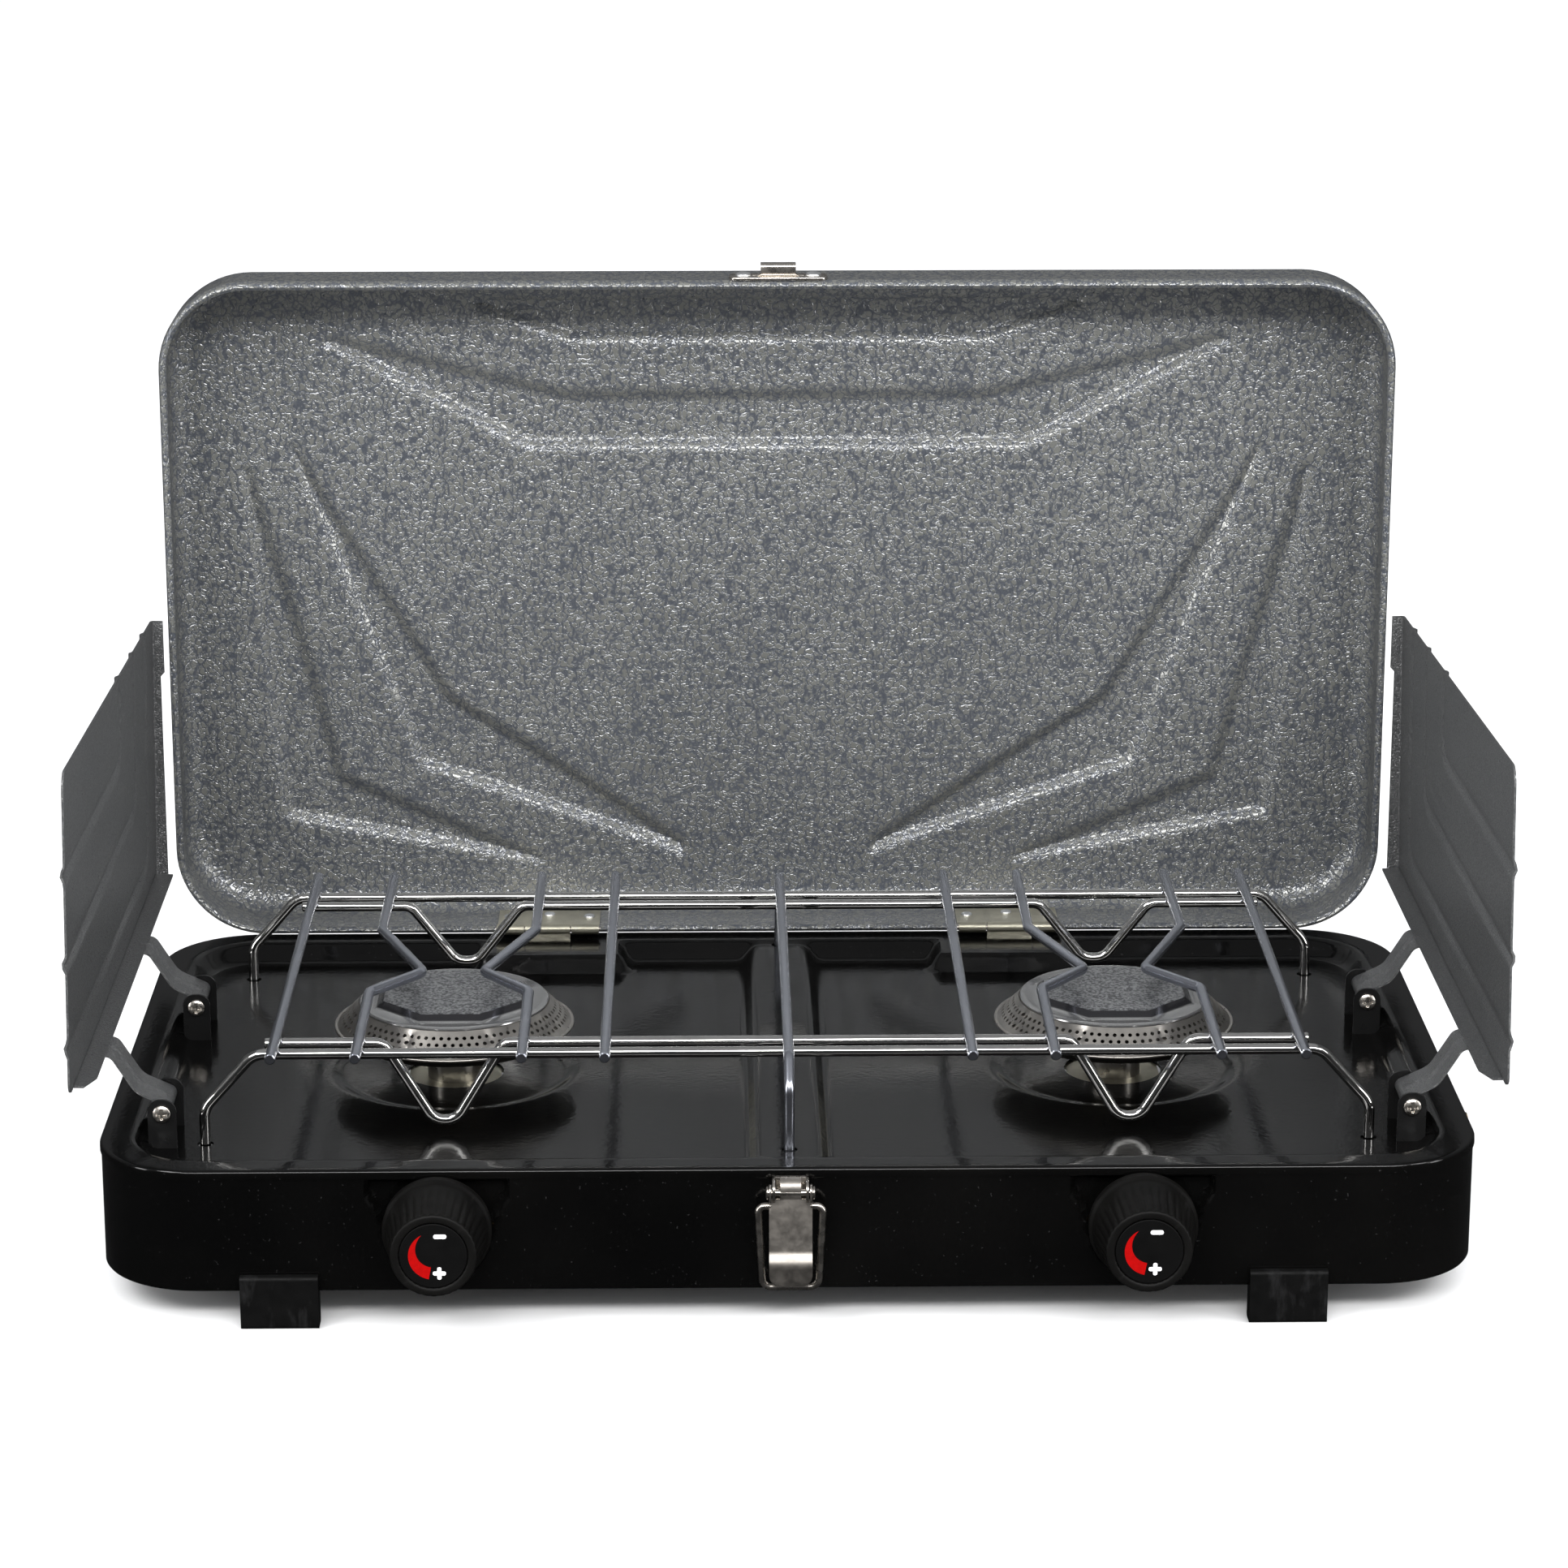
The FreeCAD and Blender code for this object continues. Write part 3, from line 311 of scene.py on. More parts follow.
def cutter(parts):
    """One object that holds every hole's shape; parts are Build objects."""
    joined = Build()
    for part in parts:
        start = len(joined.points)
        joined.points += part.points
        joined.faces += [tuple(i + start for i in face) for face in part.faces]
    return mesh_object("holes", joined.points, joined.faces)


def rod_cutter(x, y, z, radius, axis, length=12.0):
    """A rod that cuts a round hole at the point, along the axis."""
    hole = Build()
    ends = [(0, -length / 2), (radius, -length / 2), (radius, length / 2), (0, length / 2)]
    hole.lathe(ends, (x, y, z), axis, 48)
    return hole


def box_outline(ax, ay, bx, by, radius):
    return rounded([(ax, ay, 0), (bx, ay, 0), (bx, by, 0), (ax, by, 0)], [radius], closed=True, step=18.0)


# ---------- materials
class Paint:
    """A node material round one Principled shader; every texture is fixed to the object."""

    def __init__(self, name, **constants):
        self.material = bpy.data.materials.new(name)
        self.material.use_nodes = True
        self.tree = self.material.node_tree
        self.shader = self.tree.nodes["Principled BSDF"]
        for key, value in constants.items():
            self.shader.inputs[key.replace("_", " ")].default_value = value
        self.place = self.add("ShaderNodeTexCoord").outputs["Object"]

    def add(self, kind, settings=(), **inputs):
        node = self.tree.nodes.new(kind)
        for key, value in dict(settings).items():
            setattr(node, key, value)
        for key, value in inputs.items():
            socket = node.inputs[int(key[1:])] if key[1:].isdigit() else node.inputs[key.replace("_", " ")]
            if isinstance(value, bpy.types.NodeSocket):
                self.tree.links.new(value, socket)
            else:
                socket.default_value = value
        return node

    def noise(self, scale, detail=3.0, rough=0.55, place=None):
        return self.add("ShaderNodeTexNoise", Vector=place or self.place, Scale=scale, Detail=detail,
                        Roughness=rough).outputs["Fac"]

    def stretched(self, x, y, z):
        return self.add("ShaderNodeMapping", Vector=self.place, Scale=(x, y, z)).outputs["Vector"]

    def drifted(self, reach, scale):
        """The object's coordinates, pushed about by noise."""
        drift = self.add("ShaderNodeTexNoise", Vector=self.place, Scale=scale, Detail=2.0).outputs["Color"]
        push = self.add("ShaderNodeVectorMath", {"operation": "SCALE"}, Vector=drift, Scale=reach * MM)
        moved = self.add("ShaderNodeVectorMath", {"operation": "ADD"}, _0=self.place, _1=push.outputs[0])
        return moved.outputs[0]

    def ramp(self, value, low, high, out_low=0.0, out_high=1.0):
        return self.add("ShaderNodeMapRange", {"clamp": True}, Value=value, From_Min=low, From_Max=high,
                        To_Min=out_low, To_Max=out_high).outputs["Result"]

    def maths(self, operation, first, second):
        return self.add("ShaderNodeMath", {"operation": operation}, _0=first, _1=second).outputs[0]

    def mix(self, share, first, second):
        node = self.add("ShaderNodeMix", {"data_type": "RGBA"}, _0=share)
        for socket, value in ((node.inputs[6], first), (node.inputs[7], second)):
            if isinstance(value, bpy.types.NodeSocket):
                self.tree.links.new(value, socket)
            else:
                socket.default_value = (*value, 1.0)
        return node.outputs[2]

    def edges(self):
        """1 on sharp outer edges."""
        return self.ramp(self.add("ShaderNodeNewGeometry").outputs["Pointiness"], 0.5, 0.62)

    def bump(self, height, distance, strength, below=None):
        """A normal from the height, which stands for distance millimetres, laid over the normal below."""
        node = self.add("ShaderNodeBump", Height=height, Distance=distance * MM, Strength=strength)
        if below is not None:
            self.tree.links.new(below, node.inputs["Normal"])
        return node.outputs["Normal"]

    def finish(self, colour=None, rough=None, normal=None):
        wanted = {"Base Color": colour, "Roughness": rough, "Normal": normal, "Coat Normal": normal}
        for key, value in wanted.items():
            if value is not None:
                self.tree.links.new(value, self.shader.inputs[key])
        return self.material


def gloss_black():
    """Enamelled steel: black, with an orange peel and small grey flecks."""
    p = Paint("gloss_black_enamel", IOR=1.37)
    patch = p.noise(14.0)
    colour = p.mix(p.ramp(patch, 0.35, 0.7), (0.001, 0.001, 0.001), (0.0022, 0.0021, 0.002))
    fleck = p.ramp(p.noise(900.0, 2.0), 0.7, 0.76)
    colour = p.mix(p.maths("MULTIPLY", fleck, 0.3), colour, (0.05, 0.05, 0.05))
    rough = p.ramp(p.noise(45.0), 0.3, 0.7, 0.1, 0.17)
    peel = p.bump(p.noise(420.0, 2.0), 0.07, 0.8)
    return p.finish(colour, rough, p.bump(p.noise(60.0, 1.0), 0.12, 0.5, peel))


def hammertone(name, cell, vein, size, depth, contrast=1.0, metal=0.3):
    """Hammered enamel: rounded pads of about size millimetres, parted by dark wandering creases."""
    p = Paint(name, Metallic=metal, Coat_Weight=0.7, Coat_Roughness=0.12, Coat_IOR=1.8)
    swirl = p.noise(700.0 / size, 1.5, 0.5)
    pads = p.add("ShaderNodeMath", {"operation": "ABSOLUTE"}, _0=p.maths("SUBTRACT", swirl, 0.5)).outputs[0]
    net = p.add("ShaderNodeTexVoronoi", {"feature": "DISTANCE_TO_EDGE"}, Scale=1050.0 / size,
                Vector=p.drifted(1.1 * size, 1400.0 / size)).outputs["Distance"]
    pads = p.maths("MINIMUM", p.ramp(pads, 0.0, 0.075), p.ramp(net, -0.03, 0.12))
    tint = p.mix(p.ramp(p.noise(9.0), 0.35, 0.65), cell, tuple(0.82 * c for c in cell))
    colour = p.mix(p.ramp(pads, 0.2, 0.9, 1.0 - contrast, 1.0), vein, tint)
    rough = p.ramp(p.noise(1500.0 / size, 2.0), 0.3, 0.7, 0.26, 0.4)
    fine = p.bump(p.noise(3000.0 / size, 2.0), 0.06, 0.35)
    return p.finish(colour, rough, p.bump(pads, depth, 0.9, fine))


def grained_cap():
    """The burner cap: a top with a coarse grain whose light flecks are partly painted glitter, a slope round
    it painted dark as a reflection of dark surroundings, and a rim in a plain light grey.
    """
    p = Paint("grained_cap_metal", Metallic=0.9)
    height = p.add("ShaderNodeSeparateXYZ", Vector=p.place).outputs["Z"]
    blend = 0.3
    top = p.ramp(height, CAP_GRAIN_Z * MM, (CAP_GRAIN_Z + blend) * MM)
    slope = p.ramp(height, CAP_RIM_Z * MM, (CAP_RIM_Z + blend) * MM)
    grain = p.noise(900.0, 2.0, 0.6)
    # Painted reflection: the slope above the rim is coloured near black for the dark surroundings it mirrors;
    # the rim keeps a light grey.
    plain = p.mix(slope, (0.42, 0.42, 0.42), (0.07, 0.07, 0.075))
    # Grain colour: partly the grain's own tone, partly painted glitter highlights in its light flecks.
    grain_and_painted_glitter = p.mix(p.ramp(grain, 0.4, 0.62), (0.1, 0.102, 0.108), (0.44, 0.445, 0.455))
    colour = p.mix(top, plain, grain_and_painted_glitter)
    rough = p.ramp(top, 0.0, 1.0, 0.16, 0.34)
    return p.finish(colour, rough, p.bump(p.maths("MULTIPLY", grain, top), 0.22, 0.9))


def bright_metal(name, colour, rough, scratch=0.25, tone=0.85, spread=0.14):
    """Bare or plated metal with faint mottling and wear; its roughness wanders from rough by spread."""
    p = Paint(name, Metallic=1.0)
    base = p.mix(p.ramp(p.noise(120.0, 4.0, 0.6), 0.35, 0.7), colour, tuple(tone * c for c in colour))
    roughness = p.ramp(p.noise(260.0, 3.0, 0.6), 0.3, 0.7, rough, rough + spread)
    return p.finish(base, roughness, p.bump(p.noise(700.0, 2.0, 0.5), 0.02, scratch))


def plain_paint(name, dark, light, rough, fine, depth, coat=0.0):
    """A low sheen finish with a fine grain and paler edges."""
    p = Paint(name, Coat_Weight=coat, Coat_Roughness=0.2, Specular_IOR_Level=0.1)
    colour = p.mix(p.ramp(p.noise(30.0, 4.0), 0.35, 0.7), dark, light)
    colour = p.mix(p.maths("MULTIPLY", p.edges(), 0.4), colour, tuple(min(1.0, 1.8 * c) for c in light))
    roughness = p.ramp(p.noise(180.0), 0.3, 0.7, rough - 0.05, rough + 0.08)
    return p.finish(colour, roughness, p.bump(p.noise(fine, 2.0), depth, 0.6))


def rubber():
    """Moulded rubber, scuffed grey by handling."""
    p = Paint("moulded_rubber", Specular_IOR_Level=0.15)
    scuff = p.ramp(p.noise(160.0, 5.0, 0.7, p.stretched(1.0, 1.0, 0.35)), 0.52, 0.66)
    colour = p.mix(p.maths("MULTIPLY", scuff, 0.55), (0.0014, 0.0014, 0.0014), (0.012, 0.012, 0.0125))
    rough = p.ramp(p.noise(200.0), 0.3, 0.7, 0.5, 0.68)
    return p.finish(colour, rough, p.bump(p.noise(900.0, 3.0), 0.05, 0.5))


def printed(name, colour):
    """Printing ink, slightly uneven."""
    p = Paint(name, Specular_IOR_Level=0.03)
    base = p.mix(p.ramp(p.noise(600.0), 0.35, 0.7), colour, tuple(0.85 * c for c in colour))
    return p.finish(base, p.ramp(p.noise(500.0), 0.3, 0.7, 0.4, 0.5), p.bump(p.noise(1200.0), 0.01, 0.4))


BLACK = gloss_black()
HAMMERED = hammertone("hammered_enamel", (0.17, 0.172, 0.16), (0.07, 0.077, 0.092), 2.8, 0.2)
CAP_GREY = grained_cap()
SHIELD = hammertone("shield_enamel", (0.09, 0.091, 0.09), (0.05, 0.052, 0.055), 1.3, 0.12, 0.9, 0.25)
CHROME = bright_metal("chrome_plate", (0.76, 0.75, 0.73), 0.05, 0.03, spread=0.03)
ZINC_WIRE = bright_metal("zinc_wire_finish", (0.5, 0.52, 0.58), 0.24, 0.02, 0.95, spread=0.03)
STAINLESS = bright_metal("stainless_band", (0.5, 0.475, 0.44), 0.27, 0.03, spread=0.06)
NICKEL = bright_metal("nickel_plate", (0.62, 0.58, 0.53), 0.2, 0.15)
SATIN = bright_metal("satin_nickel", (0.4, 0.37, 0.335), 0.36, 0.2)
ZINC_PLATE = bright_metal("zinc_sheet", (0.66, 0.63, 0.51), 0.32, 0.2)
BRASS = bright_metal("brass_fitting", (0.72, 0.5, 0.22), 0.22)
ALUMINIUM = bright_metal("aluminium_tube", (0.72, 0.73, 0.74), 0.3)
BLACK_STEEL = plain_paint("black_steel", (0.003, 0.003, 0.0032), (0.006, 0.006, 0.006), 0.3, 700.0, 0.04, 0.3)
KNOB = plain_paint("knob_plastic", (0.0022, 0.0021, 0.002), (0.004, 0.0038, 0.0035), 0.42, 1100.0, 0.02)
LABEL = plain_paint("label_print", (0.001, 0.001, 0.001), (0.0018, 0.0017, 0.0017), 0.6, 1500.0, 0.01)
RUBBER = rubber()
RED = printed("red_ink", (0.27, 0.001, 0.001))
WHITE = printed("white_ink", (0.8, 0.8, 0.8))


# ---------- case
def case_height(x, y):
    """Top of the pressed panel: rim, sunken field, centre rib, hinge bosses and burner dishes."""
    ax, ay = np.abs(x), np.abs(y)
    qx, qy = ax - (PANEL_X - PANEL_R), ay - (PANEL_Y - PANEL_R)
    edge = np.hypot(np.maximum(qx, 0), np.maximum(qy, 0)) + np.minimum(np.maximum(qx, qy), 0) - PANEL_R
    field = PANEL_TOP + (RIM_TOP - PANEL_TOP) * smooth(1.0 + edge / PANEL_WALL)
    rib = PANEL_TOP + (RIB_TOP - PANEL_TOP) * smooth((RIB_HALF - ax) / RIB_WALL)
    away = np.hypot(np.maximum(np.abs(ax - BOSS_X) - BOSS_HALF, 0), np.maximum(BOSS_Y - y, 0))
    boss = PANEL_TOP + (RIM_TOP - PANEL_TOP) * smooth(1.0 - away / BOSS_WALL)
    dish = DISH_DEPTH * smooth((DISH_R - np.hypot(ax - BURNER_X, y - BURNER_Y)) / DISH_WALL)
    return np.maximum(np.maximum(field, rib), boss) - dish


def knob_pocket(x, z):
    """Depth of the pressed pocket behind a knob, deepest under the rim."""
    half = [(15.0, 21.0), (19.5, 38.0), (26.0, 49.5), (26.0, 56.0)]
    outline = [(-w, h) for w, h in reversed(half)] + half
    depth = smooth(inside_depth(np.abs(x) - BURNER_X, z, outline, [POCKET_WALL]))
    rise = smooth((z - 22.0) / 18.0)
    return POCKET_DEPTH * depth * (POCKET_LEAST + (1 - POCKET_LEAST) * rise)


def build_case():
    half_x, half_y = CASE_X - CASE_R, CASE_Y - CASE_R
    xs, ys = np.linspace(-half_x, half_x, 213), np.linspace(-half_y, half_y, 101)
    shape = Build()
    rows = []
    levels = [(0.9, CASE_LOW), (WALL_STEP, CASE_LOW + 0.6)]
    levels += [(WALL_STEP, z) for z in np.arange(CASE_LOW + 2.0, RIM_SEAM - 1.0, 1.9)]
    levels += [(WALL_STEP, RIM_SEAM - 0.4), (0.35, RIM_SEAM), (0.0, RIM_SEAM + 0.15), (0.0, RIM_SEAM + 1.0)]
    turn = [math.radians(a) for a in range(15, 91, 15)]
    levels += [(RIM_ROLL * (1 - math.cos(a)), RIM_TOP - RIM_ROLL + RIM_ROLL * math.sin(a)) for a in turn]
    for inset, z in levels:
        loop = offset_loop(CASE_X, CASE_Y, CASE_R, inset, xs, ys)
        front = (loop[:, 1] < -CASE_Y + 2.0) & (z < RIM_SEAM + 0.1)
        push = np.where(front, knob_pocket(loop[:, 0], np.full(len(loop), z)), 0.0)
        rows.append([(x, y + p, z) for (x, y), p in zip(loop, push)])
    for inset in list(np.arange(4.0, CASE_R, 1.6)) + [CASE_R]:
        loop = offset_loop(CASE_X, CASE_Y, CASE_R, inset, xs, ys)
        rows.append([(x, y, z) for (x, y), z in zip(loop, case_height(loop[:, 0], loop[:, 1]))])
    shape.grid(rows, closed=True)
    field_x, field_y = np.meshgrid(xs, ys)
    heights = case_height(field_x, field_y)
    shape.grid([[(x, y, z) for x, y, z in zip(*line)] for line in zip(field_x, field_y, heights)])
    holes = [rod_cutter(side * BURNER_X, BURNER_Y, 50.0, NECK_HOLE, "z") for side, _ in SIDES]
    holes += [rod_cutter(x, y, 52.0, LEG_HOLE, "z") for y in RAIL_YS for x in (-LEG_X, LEG_X)]
    holes += [rod_cutter(0, y, RIM_SEAM, LEG_HOLE, "z") for y in CENTRE_YS]
    holes += [rod_cutter(side * BURNER_X, POCKET_DEPTH - CASE_Y, KNOB_Z, STEM_HOLE, "y") for side, _ in SIDES]
    holes.append(rod_cutter(CASE_X - 1.0, INLET_Y, KNOB_Z, INLET_HOLE, "x", 8.0))
    shape.piece("case_pressing", "stove_base", "gloss_black", BLACK, ["base_case"], thick=1.0,
                core=(0, 0, 20), cutters=cutter(holes))


# ---------- lid
LID_PANELS = [
    ([(-84, 300), (84, 300), (125.5, 314), (128, 340), (-128, 340), (-125.5, 314)], [4.4]),
    ([(-175, 304.5), (-84, 282.5), (84, 282.5), (175, 304.5), (188, 301.5), (102.5, 256), (-102.5, 256),
      (-188, 301.5)], [7.0, 7.0, 7.0, 4.4, 4.4, 4.4, 4.4, 4.4]),
]
for wedge, walls in (
    ([(200, 258), (149, 122), (37, 82.5), (38, 91.5), (93, 128), (133, 154), (154, 190), (196, 260)],
     [4.4, 4.4, 4.4, 6.0, 6.0, 6.0, 6.0, 4.4]),
    ([(219.5, 250), (205.5, 99.5), (94, 78.5), (101, 86.5), (178, 120), (193, 180), (213, 250)],
     [4.4, 4.4, 4.4, 7.0, 7.0, 7.0, 4.4]),
):
    LID_PANELS += [(wedge, walls), ([(-x, z) for x, z in wedge], walls)]


def lid_bulge(x, z):
    """Pressed panels of the lid's back: a crest, a chevron band and two swept wedges each side."""
    height = np.zeros(x.shape)
    for outline, widths in LID_PANELS:
        height = np.maximum(height, smooth(inside_depth(x, z, outline, widths)))
    return LID_BULGE * height


def build_lid():
    half_x, half_z = LID_X - LID_R, LID_HALF_Z - LID_R
    xs, zs = np.linspace(-half_x, half_x, 283), np.linspace(-half_z, half_z, 134)
    shape = Build()
    rows = []
    lip = [(3.0, 2.4), (3.2, 1.4), (2.7, 0.5), (1.8, 0.1), (1.0, 0.4), (0.5, 1.1), (0.35, 2.2), (0.0, 3.0)]
    levels = [(inset, LID_FRONT + back) for inset, back in lip]
    levels += [(0.0, y) for y in np.arange(LID_FRONT + 5.0, LID_FIELD - LID_TURN, 2.4)]
    for a in (math.radians(k) for k in range(0, 91, 9)):
        levels.append((LID_TURN - LID_TURN * math.cos(a), LID_FIELD - LID_TURN + LID_TURN * math.sin(a)))
    for inset, y in levels:
        loop = offset_loop(LID_X, LID_HALF_Z, LID_R, inset, xs, zs)
        rows.append([(x, y, z + LID_MID_Z) for x, z in loop])
    for inset in list(np.arange(LID_TURN + 1.5, LID_R, 1.7)) + [LID_R]:
        loop = offset_loop(LID_X, LID_HALF_Z, LID_R, inset, xs, zs)
        rise = lid_bulge(loop[:, 0], loop[:, 1] + LID_MID_Z) * float(smooth((inset - LID_TURN) / 4.0))
        rows.append([(x, LID_FIELD + r, z + LID_MID_Z) for (x, z), r in zip(loop, rise)])
    shape.grid(rows, closed=True)
    field_x, field_z = np.meshgrid(xs, zs)
    depth = LID_FIELD + lid_bulge(field_x, field_z + LID_MID_Z)
    shape.grid([[(x, y, z + LID_MID_Z) for x, y, z in zip(*line)] for line in zip(field_x, depth, field_z)])
    slots = []
    for side, _ in SIDES:
        slot = Build()
        outline = box_outline(SLOT_Y - 2.0, SLOT_Z - 5.0, SLOT_Y + 2.0, SLOT_Z + 5.0, 1.5)
        slot.prism(outline, "x", side * LID_X - 4.0, side * LID_X + 4.0)
        slots.append(slot)
    shape.piece("lid_pressing", "lid", "hammered_grey", HAMMERED, ["lid_shell"], thick=1.0,
                core=(0, 140, LID_MID_Z), cutters=cutter(slots))


def rivet(shape, x, y, z, radius, height, axis="z", flip=1):
    """A domed rivet head that stands height along the axis."""
    dome = [(radius, 0.0), (radius, 0.25 * height)]
    dome += [(radius * math.cos(math.radians(a)), height * (0.25 + 0.75 * math.sin(math.radians(a))))
             for a in (20, 40, 60, 75, 90)]
    shape.lathe([(0.0, 0.0)] + [(r, flip * h) for r, h in dome], (x, y, z), axis, 32)


def build_catch():
    low = LID_MID_Z + LID_HALF_Z
    top = low + 1.2
    plate = Build()
    plate.prism(box_outline(-19.5, 136.0, 19.5, 147.0, 3.0), "z", low, top)
    plate.piece("catch_plate", "lid", "nickel", NICKEL, ["lid_catch"], bevel=0.3)
    post = Build()
    line = [(0, 143.6, low + 1.0), (0, 139.6, low + 1.0), (0, 139.6, low + 5.8), (0, 143.0, low + 5.8)]
    path = rounded(line, [1.6, 1.6, 1.1, 1], step=15.0)
    halves = [7.0 + 3.4 * max(0.0, 1 - (p.z - low - 1.0) / 1.6) ** 2 for p in path]
    post.strip(path, halves, (1, 0, 0))
    post.piece("catch_post", "lid", "nickel", NICKEL, thick=1.1, offset=0.0, bevel=0.2)
    heads = Build()
    for x in (-14.0, 14.0):
        rivet(heads, x, 142.0, top, 3.2, 1.5)
    heads.piece("catch_rivet_heads", "lid", "aluminium", ALUMINIUM, ["catch_rivets"])


def roll(shape, x_low, x_high, start, sweep):
    """A sheet edge curled round the hinge pin, from the start angle round by sweep degrees."""
    steps = 28
    angles = [math.radians(start + sweep * k / steps) for k in range(steps + 1)]
    middle = (x_low + x_high) / 2
    path = [(middle, PIN_Y + ROLL_R * math.cos(a), PIN_Z + ROLL_R * math.sin(a)) for a in angles]
    shape.strip(path, [(x_high - x_low) / 2] * len(path), (1, 0, 0))


def build_hinges():
    leaf_z, leaf_end, knuckle = 61.4, 132.6, 9.2
    for side, name in SIDES:
        x = side * HINGE_X
        leaf = Build()
        path = rounded([(x, 161.0, leaf_z), (x, 138.6, leaf_z), (x, 136.6, PIN_Z), (x, leaf_end, PIN_Z)],
                       [1, 1.2, 1.2, 1])
        leaf.strip(path, [21.0] * len(path), (1, 0, 0))
        for low, high in ((x - 20.9, x - 9.7), (x + 9.7, x + 20.9)):
            middle = (low + high) / 2
            bridge = [(middle, leaf_end, PIN_Z), (middle, leaf_end - 1.2, PIN_Z + 1.2)]
            leaf.strip(bridge, [(high - low) / 2] * 2, (1, 0, 0))
            roll(leaf, low, high, 55, 300)
        leaf.piece("hinge_leaf_" + name, "lid", "zinc_plate", ZINC_PLATE, ["lid_hinge_leaf_" + name],
                   thick=0.95, offset=0.0, bevel=0.15)
        base = Build()
        roll(base, x - knuckle, x + knuckle, -90, 310)
        tongue = [(x, PIN_Y, 61.35), (x, PIN_Y, 50.0)]
        base.strip(tongue, [knuckle] * 2, (1, 0, 0))
        base.piece("hinge_base_" + name, "stove_base", "zinc_plate", ZINC_PLATE, ["base_hinge_leaf_" + name],
                   thick=0.95, offset=0.0, bevel=0.15)
    heads = Build()
    for side, _ in SIDES:
        for dx, y in ((-16.5, 151.5), (0.0, 154.5), (16.5, 151.5)):
            rivet(heads, side * HINGE_X + dx, y, 61.85, 2.3, 1.1)
    heads.piece("hinge_rivet_heads", "lid", "aluminium", ALUMINIUM, ["hinge_rivets"])


# ---------- windshields
BEAD_HEIGHT = 1.15


def shield_top(y):
    """Height of the panel's sloping upper edge."""
    high, fall, rear = 206.0, 12.0, 130.0
    return high - fall * (y - SHIELD_FRONT) / (rear - SHIELD_FRONT)


def corner_turn(y, z, cy, cz, radius, dy, dz):
    """Bends a square corner of the sheet into an arc; (dy, dz) points out of the corner."""
    u, v = (y - cy) * dy / radius, (z - cz) * dz / radius
    if u <= 0 or v <= 0:
        return y, z
    return cy + dy * radius * u * math.sqrt(1 - v * v / 2), cz + dz * radius * v * math.sqrt(1 - u * u / 2)


def shield_point(y, share):
    """A point of the panel, share of the way up; three L-shaped beads stand out of it."""
    top = shield_top(y)
    z = SHIELD_LOW + share * (top - SHIELD_LOW)
    bead = 0.0
    for at_y, at_z, front_z in ((22.0, 165.0, 169.0), (66.0, 134.0, 136.0), (103.0, 100.0, 105.0)):
        path = rounded([(at_y, 215.0, 0), (at_y, at_z, 0), (SHIELD_FRONT - 5, front_z, 0)], [9.0])
        away = line_distance(y, z, [(p.x, p.y) for p in path])
        bead = max(bead, BEAD_HEIGHT * float(smooth(1.0 - (away - 0.4) / 3.0)))
    y, z = corner_turn(y, z, SHIELD_FRONT + 6, shield_top(SHIELD_FRONT + 6) - 6, 6.0, -1, 1)
    y, z = corner_turn(y, z, SHIELD_FRONT + 5, SHIELD_LOW + 5, 5.0, -1, -1)
    return SHIELD_X + bead, y, z


def flange_row(x, y, z):
    """The rear edge at one height: round the fold, then straight in; narrower below the step."""
    step_z, step = 172, 1.6
    inner = FLANGE_X + (z - PIVOT_Z) * math.tan(LEAN) + (0.0 if z > step_z else step)
    fold = [(SHIELD_X - dx, SHIELD_BEND + dy, z) for dx, dy in ((0.25, 0.65), (0.8, 1.15), (1.3, 1.2))]
    start = fold[-1][0]
    return [(x, y, z)] + fold + [(start - k * (start - inner) / 4, SHIELD_REAR, z) for k in range(1, 5)]


def foot_row(y):
    """The lower edge at one place: round the fold, then straight in; cut away aslant at the front."""
    x, _, z = shield_point(y, 0.0)
    slant, length = 4.3, 12.0
    inner = max(FLANGE_X, FLANGE_X + slant - slant * (y - FOOT_FRONT) / length)
    start = x - 1.2
    row = [(x, y, z), (x - 0.5, y, z + 0.02), (start, y, z + 0.03)]
    return row + [(start - k * (start - inner) / 4, y, z + 0.03) for k in range(1, 5)]


def shield_arm(shape, y):
    """A hinge arm, from the lower flange down to the pivot and curled round it, with a bead along it."""
    arm = rounded([(253.0, y, 87.0), (246.5, y, 87.0), (237.5, y, 73.1), (227.2, y, 68.6)], [1, 4.0, 9.0, 1])
    turn = [math.radians(a) for a in range(122, 400, 12)]
    curl = [Vector((PIVOT_X + CURL_R * math.cos(a), y, PIVOT_Z + CURL_R * math.sin(a))) for a in turn]

    def bead(i, off):
        return 0.8 * float(smooth(1 - abs(off) / 2.6)) if 0 < i < len(arm) - 1 else 0.0

    shape.strip(arm + curl, [ARM_WIDTH / 2] * len(arm + curl), (0, 1, 0), bead)


def build_shields():
    columns = list(np.linspace(SHIELD_FRONT, SHIELD_BEND, 135))
    panel = [[shield_point(y, share) for y in columns] for share in np.linspace(0, 1, 61)]
    hook_x, hook_z, hook_end = 253.2, 179.0, 131.9
    for side, name in SIDES:
        shape = Build()
        shape.grid(panel)
        shape.grid([flange_row(*row[-1]) for row in panel])
        shape.grid([foot_row(y) for y in columns if y >= FOOT_FRONT])
        for arm_y in ARM_YS:
            shield_arm(shape, arm_y)
        shape.strip([(hook_x, SHIELD_REAR, hook_z), (hook_x, hook_end, hook_z)], [2.3, 2.3], (0, 0, 1))
        if side < 0:
            shape.move(Matrix.Scale(-1, 4, Vector((1, 0, 0))))
        pivot = Matrix.Translation((side * PIVOT_X, 0, PIVOT_Z))
        shape.move(pivot @ Matrix.Rotation(-side * LEAN, 4, "Y") @ pivot.inverted())
        shape.piece("shield_sheet_" + name, "shield_" + name, "shield_paint", SHIELD, ["windshield_" + name],
                    thick=0.8, offset=0.0, sharp=45.0)


